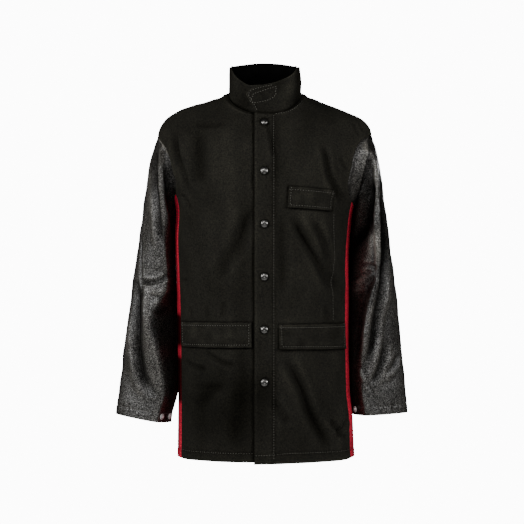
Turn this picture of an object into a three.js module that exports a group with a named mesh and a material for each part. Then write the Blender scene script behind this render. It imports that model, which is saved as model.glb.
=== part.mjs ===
// Leather-sleeved work jacket, worn shape: black cotton fronts and back, red side panels,
// leather sleeves, a lapped stand collar, pocket flaps and metal snaps.
// Millimetres. +Z up, the front faces -Y, +X is the wearer's left.
// The origin is the middle of the neck hole, level with the points where collar meets shoulder.
import * as THREE from "three";

// Cloth and leather
const CLOTH = 1.6;
const LEATHER = 1.8;
const COLLAR_WALL = 3.0;
const FLAP_WALL = 2.2;
const SEAM_GAP = 0.4; // half of the gap between two panels that meet

// Body
const HEM = -753;
const SQUARENESS = 2.35; // exponent of the rounded body section, 2 would be an ellipse
const SIDE_SEAM = 52; // the side panel reaches this far to the front and to the back
const LAP_EDGE = -22; // x of the left front's folded centre edge
const LAP_INNER = 20; // x where the lap starts to come down to the body
const LAP_END = 50; // x where it has come down
const LAP_LIFT = 2.9;
const LAP_DROP = 4; // the lapping corner of the hem hangs lower
const UNDERLAP_EDGE = 14; // x of the right front's edge, under the lap

// Neck hole
const NECK_HALF = 76;
const NECK_FRONT = -46;
const NECK_BACK = 14;

// Armholes seen from the side: height of the middle, reach up and down, reach to front and back,
// and the exponent of the outline, 2 is an ellipse. The left one hangs wider open.
const ARMHOLES = {
  right: { middle: -155, height: 70, reach: 78, power: 2 },
  left: { middle: -157, height: 74, reach: 88, power: 2.8 },
};
const ROW_SPLIT = -207; // height on a panel's centre edge where the rows out to the armhole start

// Body sections: reach from the middle to each side, to the front and to the back, and how far
// the middle lies to the wearer's left
const SECTIONS = [
  { level: -760, half: 183, front: 134, back: 125, shift: 1 },
  { level: -600, half: 179.5, front: 132, back: 118, shift: -2 },
  { level: -437, half: 180, front: 131, back: 107, shift: -4 },
  { level: -300, half: 183, front: 138, back: 113, shift: -5 },
  { level: -225, half: 188, front: 141, back: 121, shift: 0 },
  { level: -190, half: 200, front: 140, back: 124, shift: 0 },
  { level: -150, half: 216, front: 136, back: 125, shift: 0 },
  { level: -115, half: 225, front: 128, back: 122, shift: 0 },
  { level: -86, half: 225, front: 116, back: 115, shift: 0 },
  { level: -63, half: 217, front: 104, back: 107, shift: 0 },
  { level: -46, half: 201, front: 93, back: 100, shift: -3 },
  { level: -29, half: 167, front: 79, back: 92, shift: -6 },
  { level: -13, half: 122, front: 64, back: 83, shift: -3 },
  { level: -4, half: 96, front: 56, back: 79, shift: 0 },
  { level: 0, half: NECK_HALF, front: 52, back: 77, shift: 0 },
  { level: 7, half: 70, front: 48, back: 74, shift: 0 },
  { level: 16, half: 60, front: 44, back: 70, shift: 0 },
];

// Drape folds of the body, seen from the front or the back: a ridge, or a valley where lift is
// negative, along a line from one point to another that bows sideways
const BODY_FOLDS = [
  { face: "front", x0: -186, z0: -75, x1: -160, z1: -215, bow: 6, width: 9, lift: -5 },
  { face: "front", x0: -166, z0: -60, x1: -130, z1: -230, bow: 14, width: 15, lift: 4 },
  { face: "front", x0: -40, z0: -235, x1: -100, z1: -420, bow: 8, width: 14, lift: -3 },
  { face: "front", x0: -165, z0: -530, x1: -75, z1: -562, bow: -8, width: 11, lift: -4 },
  { face: "front", x0: -150, z0: -640, x1: -70, z1: -585, bow: 10, width: 16, lift: -3 },
  { face: "front", x0: 112, z0: -100, x1: 165, z1: -180, bow: 4, width: 10, lift: -4 },
  { face: "front", x0: 118, z0: -170, x1: 166, z1: -240, bow: 8, width: 9, lift: -5 },
  { face: "front", x0: 50, z0: -245, x1: 146, z1: -460, bow: 6, width: 13, lift: -5 },
  { face: "front", x0: 76, z0: -250, x1: 158, z1: -415, bow: 8, width: 11, lift: -4 },
  { face: "front", x0: 30, z0: -532, x1: 138, z1: -735, bow: 6, width: 12, lift: -5 },
  { face: "front", x0: 18, z0: -612, x1: 60, z1: -690, bow: 6, width: 12, lift: -3 },
  { face: "front", x0: 112, z0: -660, x1: 165, z1: -630, bow: -8, width: 9, lift: -4 },
  { face: "back", x0: -120, z0: -110, x1: -96, z1: -470, bow: 10, width: 20, lift: 5 },
  { face: "back", x0: 120, z0: -110, x1: 96, z1: -470, bow: -10, width: 20, lift: 5 },
  { face: "back", x0: -60, z0: -380, x1: -84, z1: -740, bow: 6, width: 22, lift: -5 },
  { face: "back", x0: 58, z0: -360, x1: 80, z1: -745, bow: -6, width: 22, lift: -5 },
];

// Sleeve rings from the armhole to the cuff: outermost point seen from the front, height and depth
// of the inner edge beside the body, the reach of the ring to the front and to the back, and where
// its front ridge runs on either sleeve, as a share of the width from the inner edge
const SLEEVE_RINGS = [
  { outX: 232, outZ: -104, inZ: -234, inY: 0, front: 80, back: 80, right: 0.59, left: 0.8 },
  { outX: 239, outZ: -135, inZ: -243, inY: 12, front: 80, back: 83, right: 0.53, left: 0.82 },
  { outX: 246, outZ: -178, inZ: -256, inY: 20, front: 80, back: 86, right: 0.44, left: 0.77 },
  { outX: 255, outZ: -240, inZ: -290, inY: 25, front: 78, back: 86, right: 0.33, left: 0.7 },
  { outX: 264, outZ: -308, inZ: -345, inY: 27, front: 73, back: 84, right: 0.23, left: 0.68 },
  { outX: 274, outZ: -380, inZ: -408, inY: 27, front: 67, back: 80, right: 0.22, left: 0.6 },
  { outX: 283, outZ: -455, inZ: -478, inY: 26, front: 63, back: 68, right: 0.54, left: 0.4 },
  { outX: 292, outZ: -530, inZ: -550, inY: 25, front: 60, back: 54, right: 0.34, left: 0.24 },
  { outX: 300, outZ: -605, inZ: -624, inY: 22, front: 57, back: 40, right: 0.2, left: 0.19 },
  { outX: 306, outZ: -664, inZ: -682, inY: 12, front: 54, back: 30, right: 0.24, left: 0.22 },
];
const RIDGE_SHARPNESS = 0.45; // 0 is a round front, 1 two flat faces
const SLEEVE_CLEARANCE = 1.5; // between the inner edge and the body's side
// The cuffs: how far the outer edge swings out, how far the inner edge opens away from the body
// near the end, and how much higher the outer and the inner edge end
const CUFFS = {
  right: { swing: 6, open: 15, outRise: -3, inRise: -3 },
  left: { swing: -6, open: 3, outRise: 0, inRise: 14 },
};
const CUFF_OPEN_START = 0.86; // share of the length where the inner edge starts to open

// Folds of the sleeves, drawn as those of the body are
const SLEEVE_FOLDS = {
  right: [
    { face: "front", x0: -222, z0: -93, x1: -204, z1: -336, bow: 7, width: 7, lift: -6 },
    { face: "front", x0: -215, z0: -94, x1: -199, z1: -307, bow: 5, width: 7, lift: 4 },
    { face: "front", x0: -259, z0: -392, x1: -225, z1: -626, bow: 16, width: 10, lift: -9 },
    { face: "front", x0: -249, z0: -423, x1: -218, z1: -634, bow: 5, width: 8, lift: 4 },
    { face: "front", x0: -250, z0: -388, x1: -193, z1: -382, bow: 0, width: 8, lift: -6 },
    { face: "front", x0: -237, z0: -443, x1: -198, z1: -443, bow: 11, width: 8, lift: -5 },
    { face: "back", x0: -205, z0: -360, x1: -268, z1: -395, bow: 4, width: 12, lift: -5 },
    { face: "back", x0: -206, z0: -430, x1: -272, z1: -425, bow: 0, width: 12, lift: -4 },
  ],
  left: [
    { face: "front", x0: 225, z0: -122, x1: 236, z1: -371, bow: 0, width: 8, lift: 5 },
    { face: "front", x0: 239, z0: -179, x1: 243, z1: -396, bow: -2, width: 8, lift: -6 },
    { face: "front", x0: 244, z0: -350, x1: 214, z1: -560, bow: -6, width: 9, lift: -7 },
    { face: "front", x0: 219, z0: -171, x1: 194, z1: -320, bow: -7, width: 12, lift: -8 },
    { face: "front", x0: 178, z0: -398, x1: 231, z1: -371, bow: 0, width: 8, lift: 4 },
    { face: "front", x0: 180, z0: -425, x1: 221, z1: -398, bow: 0, width: 8, lift: -5 },
    { face: "front", x0: 237, z0: -371, x1: 197, z1: -567, bow: 5, width: 8, lift: 5 },
    { face: "front", x0: 251, z0: -518, x1: 224, z1: -601, bow: 0, width: 8, lift: -4 },
    { face: "back", x0: 205, z0: -360, x1: 264, z1: -395, bow: -4, width: 12, lift: -5 },
    { face: "back", x0: 206, z0: -430, x1: 268, z1: -425, bow: 0, width: 12, lift: -4 },
  ],
};
const SLEEVE_FOLD_FADE = 30; // folds die out this near to the sleeve's outer and inner edges

// Collar: heights of its top edge, how far its ends pass the centre, and its lean
const COLLAR_TOP = { side: 56, back: 76 };
// Its front top edge, across the neck hole from the wearer's right at -1 to the left at 1
const COLLAR_FRONT = [
  { across: -1, height: COLLAR_TOP.side },
  { across: -0.92, height: 44 },
  { across: -0.56, height: 16 },
  { across: -0.19, height: 13 },
  { across: 0.08, height: 15 },
  { across: 0.48, height: 24 },
  { across: 0.79, height: 38 },
  { across: 1, height: COLLAR_TOP.side },
];
const COLLAR_BLUNT = 0.73; // exponent of its back top edge: smaller is flatter with rounder corners
const COLLAR_LEAN = 6; // the top edge stands this far in front of the seam
const COLLAR_TAPER = 3; // and this much narrower on each side
const COLLAR_SEAM = 3.4; // clearance of its lower edge over the neck hole
const OVERLAP_TURN = 30; // degrees that the left end passes the centre front
const UNDERLAP_TURN = 8; // degrees that the right end passes it the other way
const COLLAR_SPIRAL = 4.2; // the lapping end lies this far outside the other
const TAB_POINT = 0.75; // share of the height where the lapping end reaches furthest
const TAB_CORNER = 9; // degrees that its upper corner is set back
const TAB_SLANT = 18; // degrees that its lower corner is set back
const TAB_START = 4; // degrees before the centre front where its top edge starts to drop
const TAB_DROP = 10; // how much lower its top edge ends, 40 degrees on

// Pocket flaps, by the x of their ends and the height of each corner
const FLAPS = [
  { name: "chest_flap", x0: 46, x1: 140, top0: -195, top1: -202, low0: -239, low1: -245 },
  { name: "right_hip_flap", x0: -171, x1: -26, top0: -471, top1: -470, low0: -523, low1: -522 },
  { name: "left_hip_flap", x0: 27, x1: 168, top0: -474, top1: -474, low0: -525, low1: -528 },
];
const FLAP_SEAT = 0.8; // gap at its sewn upper edge
const FLAP_STAND = 4.5; // how far its free lower edge stands off

// Snaps
const SNAP_X = -1;
const SNAP_TOP = -65;
const SNAP_SECOND = -165;
const SNAP_PITCH = 106.7;
const SNAP_COUNT = 6;
const FRONT_SNAP = { radius: 8.2, height: 4.2, seat: 0.35 };
const CUFF_SNAP = { radius: 6.4, height: 3.2, seat: 1.2 };
const CUFF_SNAP_TURNS = { right: [0.368, 0.436], left: [0.42, 0.6] };
const CUFF_SNAP_ALONG = 0.978;
const SNAP_SIDES = 12;

// Mesh steps
const LOWER_ROWS = 16;
const ARMHOLE_ROWS = 7;
const NECK_ROWS = 4;
const FRONT_STEPS = 12;
const BACK_STEPS = 9;
const SIDE_STEPS = 4;
const SLEEVE_STEPS = 20;
const SLEEVE_TURNS = 20;
const COLLAR_STEPS = 36;
const COLLAR_ROWS = 4;

const cotton = new THREE.MeshStandardMaterial({ color: 0x1c1b18, roughness: 0.9, metalness: 0 });
const redCotton = new THREE.MeshStandardMaterial({ color: 0xa0182a, roughness: 0.9, metalness: 0 });
const leather = new THREE.MeshStandardMaterial({ color: 0x191817, roughness: 0.5, metalness: 0 });
const gunmetal = new THREE.MeshStandardMaterial({ color: 0x4a4a4a, roughness: 0.3, metalness: 1 });
const nickel = new THREE.MeshStandardMaterial({ color: 0xb9b3ae, roughness: 0.3, metalness: 1 });

const smooth = (t) => THREE.MathUtils.smoothstep(t, 0, 1);
const lerp = THREE.MathUtils.lerp;

// A smooth function through one column of a table whose first column rises
function column(table, from, to) {
  const spline = new THREE.CubicInterpolant(
    table.map((row) => row[from]),
    table.map((row) => row[to]),
    1,
  );
  return (at) => spline.evaluate(at)[0];
}

// Body surface
const halfAt = column(SECTIONS, "level", "half");
const frontAt = column(SECTIONS, "level", "front");
const backAt = column(SECTIONS, "level", "back");
const shiftAt = column(SECTIONS, "level", "shift");
const depthAt = (front, level) => (front ? frontAt(level) : backAt(level));

// A place on the body is an angle, 0 in front and 90 degrees on the wearer's left, and a level
const angleAtX = (x, level) => {
  const aside = x - shiftAt(level);
  return Math.sign(aside) * Math.asin(Math.min(1, (Math.abs(aside) / halfAt(level)) ** (SQUARENESS / 2)));
};
const angleAtY = (y, level) => {
  const turn = Math.acos(Math.min(1, (Math.abs(y) / depthAt(y < 0, level)) ** (SQUARENESS / 2)));
  return y < 0 ? turn : Math.PI - turn;
};

function bodyPoint({ angle, level }) {
  const along = (value) => Math.sign(value) * Math.abs(value) ** (2 / SQUARENESS);
  const depth = depthAt(Math.cos(angle) > 0, level);
  return new THREE.Vector3(
    shiftAt(level) + halfAt(level) * along(Math.sin(angle)),
    -depth * along(Math.cos(angle)),
    level,
  );
}

function bodyNormal(point) {
  const front = point.y < 0;
  const [half, depth] = [halfAt(point.z), depthAt(front, point.z)];
  const slope = (f) => (f(point.z + 1) - f(point.z - 1)) / 2;
  const aside = point.x - shiftAt(point.z);
  const [u, v] = [Math.abs(aside) / half, Math.abs(point.y) / depth];
  const [across, ahead] = [Math.sign(aside) * u ** (SQUARENESS - 1), v ** (SQUARENESS - 1)];
  return new THREE.Vector3(
    across / half,
    (Math.sign(point.y) * ahead) / depth,
    -(across * slope(shiftAt) + u ** SQUARENESS * slope(halfAt)) / half -
      (v * ahead * slope(front ? frontAt : backAt)) / depth,
  ).normalize();
}

// Height of one fold at a point of the plane that it is drawn in
function ridge(x, z, { x0, z0, x1, z1, bow = 0, width, lift }) {
  const [dx, dz] = [x1 - x0, z1 - z0];
  const length = Math.hypot(dx, dz);
  const along = ((x - x0) * dx + (z - z0) * dz) / length ** 2;
  if (along <= 0 || along >= 1) return 0;
  const end = Math.sin(Math.PI * along);
  const aside = ((x - x0) * dz - (z - z0) * dx) / length - bow * end;
  return lift * end * Math.exp(-((aside / width) ** 2));
}

// All folds of a table at a point; they die out towards the sides
function foldLift(table, { x, y, z }, fade) {
  const face = y < 0 ? "front" : "back";
  const folds = table.filter((fold) => fold.face === face);
  return smooth(Math.abs(y) / fade) * folds.reduce((sum, fold) => sum + ridge(x, z, fold), 0);
}
const bodyFold = (point) => foldLift(BODY_FOLDS, point, SIDE_SEAM);

// The left front rises over the right one near the centre
const lapLift = (x) => LAP_LIFT * smooth((LAP_END - x) / (LAP_END - LAP_INNER));

function onBody(place, offset = () => 0, fold = bodyFold) {
  const point = bodyPoint(place);
  const normal = bodyNormal(point);
  return { point: point.clone().addScaledVector(normal, fold(point) + offset(point)), normal };
}

// Places on the edges of the body panels. Those of the wearer's right are given mirrored, so that
// each panel is laid out as on the left.
const mirror = ({ angle, level }) => ({ angle: -angle, level });
const angleAside = (side, x, level) => side * angleAtX(side * x, level);
const neckFront = (turn, side = 1) => {
  const level = NECK_FRONT * Math.cos(turn);
  return { angle: angleAside(side, NECK_HALF * Math.sin(turn), level), level };
};
const neckBack = (turn, side = 1) => {
  const level = NECK_BACK * Math.cos(turn);
  return { angle: Math.PI - angleAside(side, NECK_HALF * Math.sin(turn), level), level };
};
const armholeOf = (side) => ARMHOLES[side > 0 ? "left" : "right"];
function armhole(side, turn, grow = 0) {
  const { middle, height, reach, power } = armholeOf(side);
  const along = (value) => Math.sign(value) * Math.abs(value) ** (2 / power);
  const level = middle + (height + grow) * along(Math.cos(turn));
  return { angle: angleAtY(-(reach + grow) * along(Math.sin(turn)), level), level };
}
// The turn where the lower half of an armhole passes a depth
function armholeTurn(side, y) {
  const { reach, power } = armholeOf(side);
  return Math.PI + Math.sign(y) * Math.asin((Math.abs(y) / reach) ** (power / 2));
}

// Places spread evenly by length along the body surface between two places
function spread(from, to, steps) {
  const fine = 12 * steps;
  const at = (t) => ({ angle: lerp(from.angle, to.angle, t), level: lerp(from.level, to.level, t) });
  const lengths = [0];
  for (let i = 1; i <= fine; i++)
    lengths.push(lengths[i - 1] + bodyPoint(at(i / fine)).distanceTo(bodyPoint(at((i - 1) / fine))));
  const places = [from];
  for (let i = 1, k = 1; i < steps; i++) {
    const wanted = (lengths[fine] * i) / steps;
    while (lengths[k] < wanted) k++;
    const part = (wanted - lengths[k - 1]) / (lengths[k] - lengths[k - 1]);
    places.push(at((k - 1 + part) / fine));
  }
  return [...places, to];
}

// A closed wall of even thickness behind rows of surface points. Points that coincide are
// shared, and each open edge of the surface gets a rim.
function wall(patches, thickness) {
  const [outer, inner, index] = [[], [], new Map()];
  const vertex = ({ point, normal }) => {
    const key = point.toArray().map((v) => Math.round(v * 100)).join();
    if (!index.has(key)) {
      index.set(key, outer.length);
      outer.push(point);
      inner.push(point.clone().addScaledVector(normal, -thickness));
    }
    return index.get(key);
  };
  const faces = [];
  const addFace = (...corners) => {
    if (new Set(corners).size === 3) faces.push(corners);
  };
  for (const rows of patches) {
    const ids = rows.map((row) => row.map(vertex));
    for (let i = 0; i + 1 < ids.length; i++)
      for (let j = 0; j + 1 < ids[i].length; j++) {
        addFace(ids[i][j], ids[i][j + 1], ids[i + 1][j + 1]);
        addFace(ids[i][j], ids[i + 1][j + 1], ids[i + 1][j]);
      }
  }
  const edges = new Set(faces.flatMap(([a, b, c]) => [`${a},${b}`, `${b},${c}`, `${c},${a}`]));
  const count = outer.length;
  const triangles = faces.flatMap(([a, b, c]) => [a, b, c, count + a, count + c, count + b]);
  for (const edge of edges) {
    const [a, b] = edge.split(",").map(Number);
    if (edges.has(`${b},${a}`)) continue;
    triangles.push(b, a, count + a, b, count + a, count + b);
  }
  const geometry = new THREE.BufferGeometry().setFromPoints([...outer, ...inner]);
  geometry.setIndex(triangles);
  geometry.computeVertexNormals();
  return geometry;
}

const jacket = new THREE.Group();
function addPiece(name, geometry, material) {
  const mesh = new THREE.Mesh(geometry, material);
  mesh.name = name;
  jacket.add(mesh);
  return mesh;
}

// Half of a front or back panel: rows from its centre edge out to the side seam and armhole.
// The top row is the shoulder seam. The centre edge's x counts towards the panel's own side.
function panelRows(side, front, centreX, steps, offset, centreDrop) {
  const neck = front ? neckFront : neckBack;
  const startTurn = Math.asin(centreX / NECK_HALF);
  const neckLevel = neck(startTurn, side).level;
  const inner = (level) => {
    const angle = angleAside(side, centreX, level);
    return { angle: front ? angle : Math.PI - angle, level };
  };
  const seamY = front ? -SIDE_SEAM - SEAM_GAP : SIDE_SEAM + SEAM_GAP;
  const seamTurn = armholeTurn(side, -SIDE_SEAM);
  const seamTop = armhole(side, seamTurn).level;
  const rows = [];
  for (let i = 0; i <= LOWER_ROWS; i++) {
    const level = lerp(HEM, seamTop, i / LOWER_ROWS);
    const drop = centreDrop * smooth(1 - i / 2);
    const start = inner(lerp(HEM, ROW_SPLIT, i / LOWER_ROWS) - drop);
    rows.push([start, { angle: angleAtY(seamY, level), level }]);
  }
  const upper = ARMHOLE_ROWS + NECK_ROWS;
  for (let i = 1; i <= upper; i++) {
    const turn = lerp(seamTurn, 0, i / upper);
    const edge = armhole(side, front ? turn : -turn, SEAM_GAP);
    const start =
      i <= ARMHOLE_ROWS
        ? inner(lerp(ROW_SPLIT, neckLevel, i / ARMHOLE_ROWS))
        : neck(lerp(startTurn, Math.PI / 2, (i - ARMHOLE_ROWS) / NECK_ROWS), side);
    rows.push([start, edge]);
  }
  const shoulder = (place, last) =>
    last ? { ...place, angle: Math.PI / 2 + (front ? -1 : 1) * 0.004 } : place;
  const surface = rows.map(([start, edge], i) => {
    const last = i === rows.length - 1;
    const places = spread(shoulder(start, last), shoulder(edge, last), steps);
    return places.map((place) => onBody(side > 0 ? place : mirror(place), offset));
  });
  const outward = side > 0 === front;
  return outward ? surface : surface.map((row) => row.reverse());
}

function addFronts() {
  const left = panelRows(1, true, LAP_EDGE, FRONT_STEPS, (point) => lapLift(point.x), LAP_DROP);
  addPiece("left_front", wall([left], CLOTH), cotton);
  const right = panelRows(-1, true, -UNDERLAP_EDGE, FRONT_STEPS, () => 0, 0);
  addPiece("right_front", wall([right], CLOTH), cotton);
}

function addBack() {
  const halves = [1, -1].map((side) => panelRows(side, false, 0, BACK_STEPS, () => 0, 0));
  addPiece("back", wall(halves, CLOTH), cotton);
}

// A red side panel, its top edge following the lower part of the armhole
function addSidePanel(name, side) {
  const rows = [];
  for (let i = 0; i <= LOWER_ROWS; i++) {
    const row = [];
    for (let j = 0; j <= SIDE_STEPS; j++) {
      const y = lerp(-1, 1, j / SIDE_STEPS) * (SIDE_SEAM - SEAM_GAP);
      const top = armhole(side, armholeTurn(side, y), SEAM_GAP).level;
      const level = lerp(HEM, top, i / LOWER_ROWS);
      const place = { angle: angleAtY(y, level), level };
      row.push(onBody(side > 0 ? place : mirror(place)));
    }
    rows.push(side > 0 ? row : row.reverse());
  }
  addPiece(name, wall([rows], CLOTH), redCotton);
}

// How far a sleeve reaches to the front, 0 to 1, at a share of its width from the inner edge
function ridgeReach(share, ridge) {
  const part = share < ridge ? share / ridge : (1 - share) / (1 - ridge);
  const round = Math.sqrt(Math.max(0, Math.sin((Math.PI / 2) * part)));
  return lerp(round, part, RIDGE_SHARPNESS);
}

// A point of a sleeve by its turn round the sleeve and its way along it
function sleeveSurface(name, side) {
  const count = SLEEVE_RINGS.length;
  const rings = SLEEVE_RINGS.map((ring, i) => ({ ...ring, along: (i + 1) / count }));
  const keys = ["outX", "outZ", "inZ", "inY", "front", "back", name];
  const at = Object.fromEntries(keys.map((key) => [key, column(rings, "along", key)]));
  const first = 1 / count;
  const cuff = CUFFS[name];
  const underArm = armholeOf(side).middle - armholeOf(side).height;
  const besideBody = (y, level) => {
    const place = { angle: angleAtY(y, level), level };
    return Math.abs(bodyPoint(side > 0 ? place : mirror(place)).x) + SLEEVE_CLEARANCE;
  };
  const innerX = (along) =>
    besideBody(at.inY(along), at.inZ(along)) +
    cuff.open * smooth((along - CUFF_OPEN_START) / (1 - CUFF_OPEN_START));
  const onRing = (turn, along) => {
    const [c, s] = [Math.cos(2 * Math.PI * turn), Math.sin(2 * Math.PI * turn)];
    const share = (1 + c) / 2;
    const reach = s > 0 ? -ridgeReach(share, at[name](along)) * at.front(along) : -s * at.back(along);
    const point = new THREE.Vector3(
      lerp(innerX(along), at.outX(along) + cuff.swing * along ** 2, share),
      reach + at.inY(along) * (1 - share) ** 2,
      lerp(at.inZ(along) + cuff.inRise * along ** 3, at.outZ(along) + cuff.outRise * along ** 3, share),
    );
    // Under the arm the sleeve lies along the body's side
    if (point.z < underArm) point.x = Math.max(point.x, besideBody(point.y, point.z));
    return point;
  };
  const seam = (turn) => {
    const place = armhole(side, 2 * Math.PI * turn, -SEAM_GAP);
    const point = bodyPoint(place);
    return point.addScaledVector(bodyNormal(point), SEAM_GAP);
  };
  const bare = (turn, along) => {
    if (along >= first) return onRing(turn, along);
    return seam(turn).lerp(onRing(turn, first), along / first);
  };
  return (turn, along) => {
    const step = 0.004;
    const low = Math.min(along, 1 - step);
    const point = bare(turn, along);
    const across = bare(turn + step, along).sub(bare(turn - step, along));
    const down = bare(turn, low + step).sub(bare(turn, low));
    const normal = across.cross(down).normalize();
    if (normal.dot(point.clone().sub(bare(turn + 0.5, along))) < 0) normal.negate();
    for (const v of [point, normal]) v.x *= side;
    point.addScaledVector(normal, foldLift(SLEEVE_FOLDS[name], point, SLEEVE_FOLD_FADE));
    return { point, normal };
  };
}

function addSleeve(name, side) {
  const surface = sleeveSurface(name, side);
  const rows = [];
  for (let i = 0; i <= SLEEVE_STEPS; i++) {
    const along = i / SLEEVE_STEPS;
    const row = [];
    for (let j = 0; j <= SLEEVE_TURNS; j++) row.push(surface((j % SLEEVE_TURNS) / SLEEVE_TURNS, along));
    rows.push(side > 0 ? row.reverse() : row);
  }
  addPiece(`${name}_sleeve`, wall([rows.reverse()], LEATHER), leather);
  CUFF_SNAP_TURNS[name].forEach((turn, i) =>
    addSnap(`${name}_cuff_snap_${i + 1}`, CUFF_SNAP, surface(turn, CUFF_SNAP_ALONG), nickel),
  );
}

// Stand collar: a band round the neck hole whose left end laps outside the right one
function addCollar() {
  const neck = (turn) => {
    const at = Math.abs(turn) <= Math.PI / 2 ? neckFront(turn) : neckBack(Math.PI - Math.abs(turn));
    const place = Math.abs(turn) <= Math.PI / 2 ? at : { ...at, angle: Math.sign(turn) * at.angle };
    return bodyPoint(place);
  };
  const radians = THREE.MathUtils.degToRad;
  const frontTop = column(COLLAR_FRONT, "across", "height");
  const topLevel = (turn, share) => {
    const ahead = Math.cos(turn);
    if (ahead <= 0) return lerp(COLLAR_TOP.side, COLLAR_TOP.back, (-ahead) ** COLLAR_BLUNT);
    const past = share > 0.5 ? smooth((radians(TAB_START) - turn) / radians(40)) : 0;
    return frontTop(Math.sin(turn)) - TAB_DROP * past;
  };
  const start = radians(UNDERLAP_TURN);
  const whole = start + 2 * Math.PI + radians(OVERLAP_TURN);
  const rows = [];
  for (let i = 0; i <= COLLAR_ROWS; i++) {
    const rise = i / COLLAR_ROWS;
    const past = rise - TAB_POINT;
    const setBack = past < 0 ? (TAB_SLANT * -past) / TAB_POINT : (TAB_CORNER * past) / (1 - TAB_POINT);
    const row = [];
    for (let j = 0; j <= COLLAR_STEPS; j++) {
      const share = j / COLLAR_STEPS;
      const turn = start - whole * share + radians(setBack) * share ** 8;
      const wrapped = THREE.MathUtils.euclideanModulo(turn + Math.PI, 2 * Math.PI) - Math.PI;
      const foot = neck(wrapped);
      const away = new THREE.Vector3(foot.x / NECK_HALF, foot.y / frontAt(NECK_FRONT), 0).normalize();
      const level = lerp(foot.z + COLLAR_SEAM, topLevel(wrapped, share), rise);
      const reach = COLLAR_SPIRAL * (smooth(2 * share - 1) - 0.5) - COLLAR_TAPER * rise;
      const point = foot.clone().addScaledVector(away, reach);
      point.y -= COLLAR_LEAN * rise;
      point.z = level;
      row.push({ point, normal: away });
    }
    rows.push(row.reverse());
  }
  addPiece("collar", wall([rows], COLLAR_WALL), cotton);
}

// Pocket flaps lie on a front, sewn along the top, their lower edge standing off
function addFlaps() {
  const steps = { across: 8, down: 3 };
  for (const { name, x0, x1, top0, top1, low0, low1 } of FLAPS) {
    const rows = [];
    for (let i = 0; i <= steps.down; i++) {
      const fall = i / steps.down;
      const place = (x, top, low) => {
        const level = lerp(top, low, fall);
        return { angle: angleAtX(x, level), level };
      };
      const stand = (point) =>
        FLAP_WALL + FLAP_SEAT + FLAP_STAND * fall ** 2 + (point.x > 0 ? lapLift(point.x) : 0);
      const places = spread(place(x0, top0, low0), place(x1, top1, low1), steps.across);
      rows.push(places.map((at) => onBody(at, stand, () => 0)));
    }
    addPiece(name, wall([rows.reverse()], FLAP_WALL), cotton);
  }
}

// A domed snap cap on a surface point, just clear of it
function addSnap(name, { radius, height, seat }, { point, normal }, material) {
  const profile = [
    [0, 0],
    [0.95, 0],
    [1, 0.3],
    [0.86, 0.6],
    [0.5, 0.9],
    [0, 1],
  ].map(([r, h]) => new THREE.Vector2(r * radius, h * height));
  const cap = new THREE.LatheGeometry(profile, SNAP_SIDES);
  const mesh = addPiece(name, cap, material);
  mesh.quaternion.setFromUnitVectors(new THREE.Vector3(0, 1, 0), normal);
  mesh.position.copy(point).addScaledVector(normal, seat);
}

function addFrontSnaps() {
  for (let i = 0; i < SNAP_COUNT; i++) {
    const level = i === 0 ? SNAP_TOP : SNAP_SECOND - (i - 1) * SNAP_PITCH;
    const seat = onBody({ angle: angleAtX(SNAP_X, level), level }, () => LAP_LIFT);
    addSnap(`front_snap_${i + 1}`, FRONT_SNAP, seat, gunmetal);
  }
}

addFronts();
addBack();
addSidePanel("left_side", 1);
addSidePanel("right_side", -1);
addSleeve("left", 1);
addSleeve("right", -1);
addCollar();
addFlaps();
addFrontSnaps();

export default jacket;
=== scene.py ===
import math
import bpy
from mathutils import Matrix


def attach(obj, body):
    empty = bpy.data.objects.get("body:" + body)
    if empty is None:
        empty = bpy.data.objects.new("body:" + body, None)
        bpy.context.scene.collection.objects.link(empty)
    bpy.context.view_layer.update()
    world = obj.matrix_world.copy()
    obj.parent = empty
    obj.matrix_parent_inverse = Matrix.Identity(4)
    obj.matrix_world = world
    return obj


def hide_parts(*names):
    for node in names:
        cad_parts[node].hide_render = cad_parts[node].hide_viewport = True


bl_info = {
    "name": "Leather-sleeved work jacket",
    "version": (1, 0, 0),
    "blender": (4, 5, 0),
    "location": "View3D > Sidebar > Jacket",
    "description": "Cloth, leather, stitching and snaps of a work jacket in its worn shape",
    "category": "Add Mesh",
}

import bpy
import numpy as np
from bpy.props import FloatProperty, FloatVectorProperty, IntProperty, PointerProperty
from mathutils import Vector

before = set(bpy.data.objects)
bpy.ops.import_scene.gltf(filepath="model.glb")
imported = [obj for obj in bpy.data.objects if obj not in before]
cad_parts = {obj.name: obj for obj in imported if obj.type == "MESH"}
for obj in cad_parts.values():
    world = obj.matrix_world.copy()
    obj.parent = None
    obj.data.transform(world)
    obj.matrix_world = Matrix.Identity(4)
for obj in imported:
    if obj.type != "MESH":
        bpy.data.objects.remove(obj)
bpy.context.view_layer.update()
MM = 0.001

# Body, in millimetres, as in the part's source
HEM = -753
SQUARENESS = 2.35  # exponent of the body's rounded sections
SIDE_SEAM = 52  # depth of the side seams, to the front and to the back
# The lap, by x: its edge, where its lift starts to fall, and where it lies flush
LAP_EDGE, LAP_INNER, LAP_END = -22, 20, 50
LAP_LIFT = 2.9
LAP_DROP = 4  # its lower corner hangs this far below the hem
# x where that drop starts, the way to its full size, and the share of the lower rows that follow it
DROP_START, DROP_RUN, DROP_ROWS = 60, 80, 0.06
UNDERLAP_EDGE = 14  # edge of the right front, under the lap
NECK_HALF, NECK_FRONT, NECK_BACK = 76, -46, 14
NECK_RISE = 6  # how far the cloth climbs the collar's sides
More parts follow.
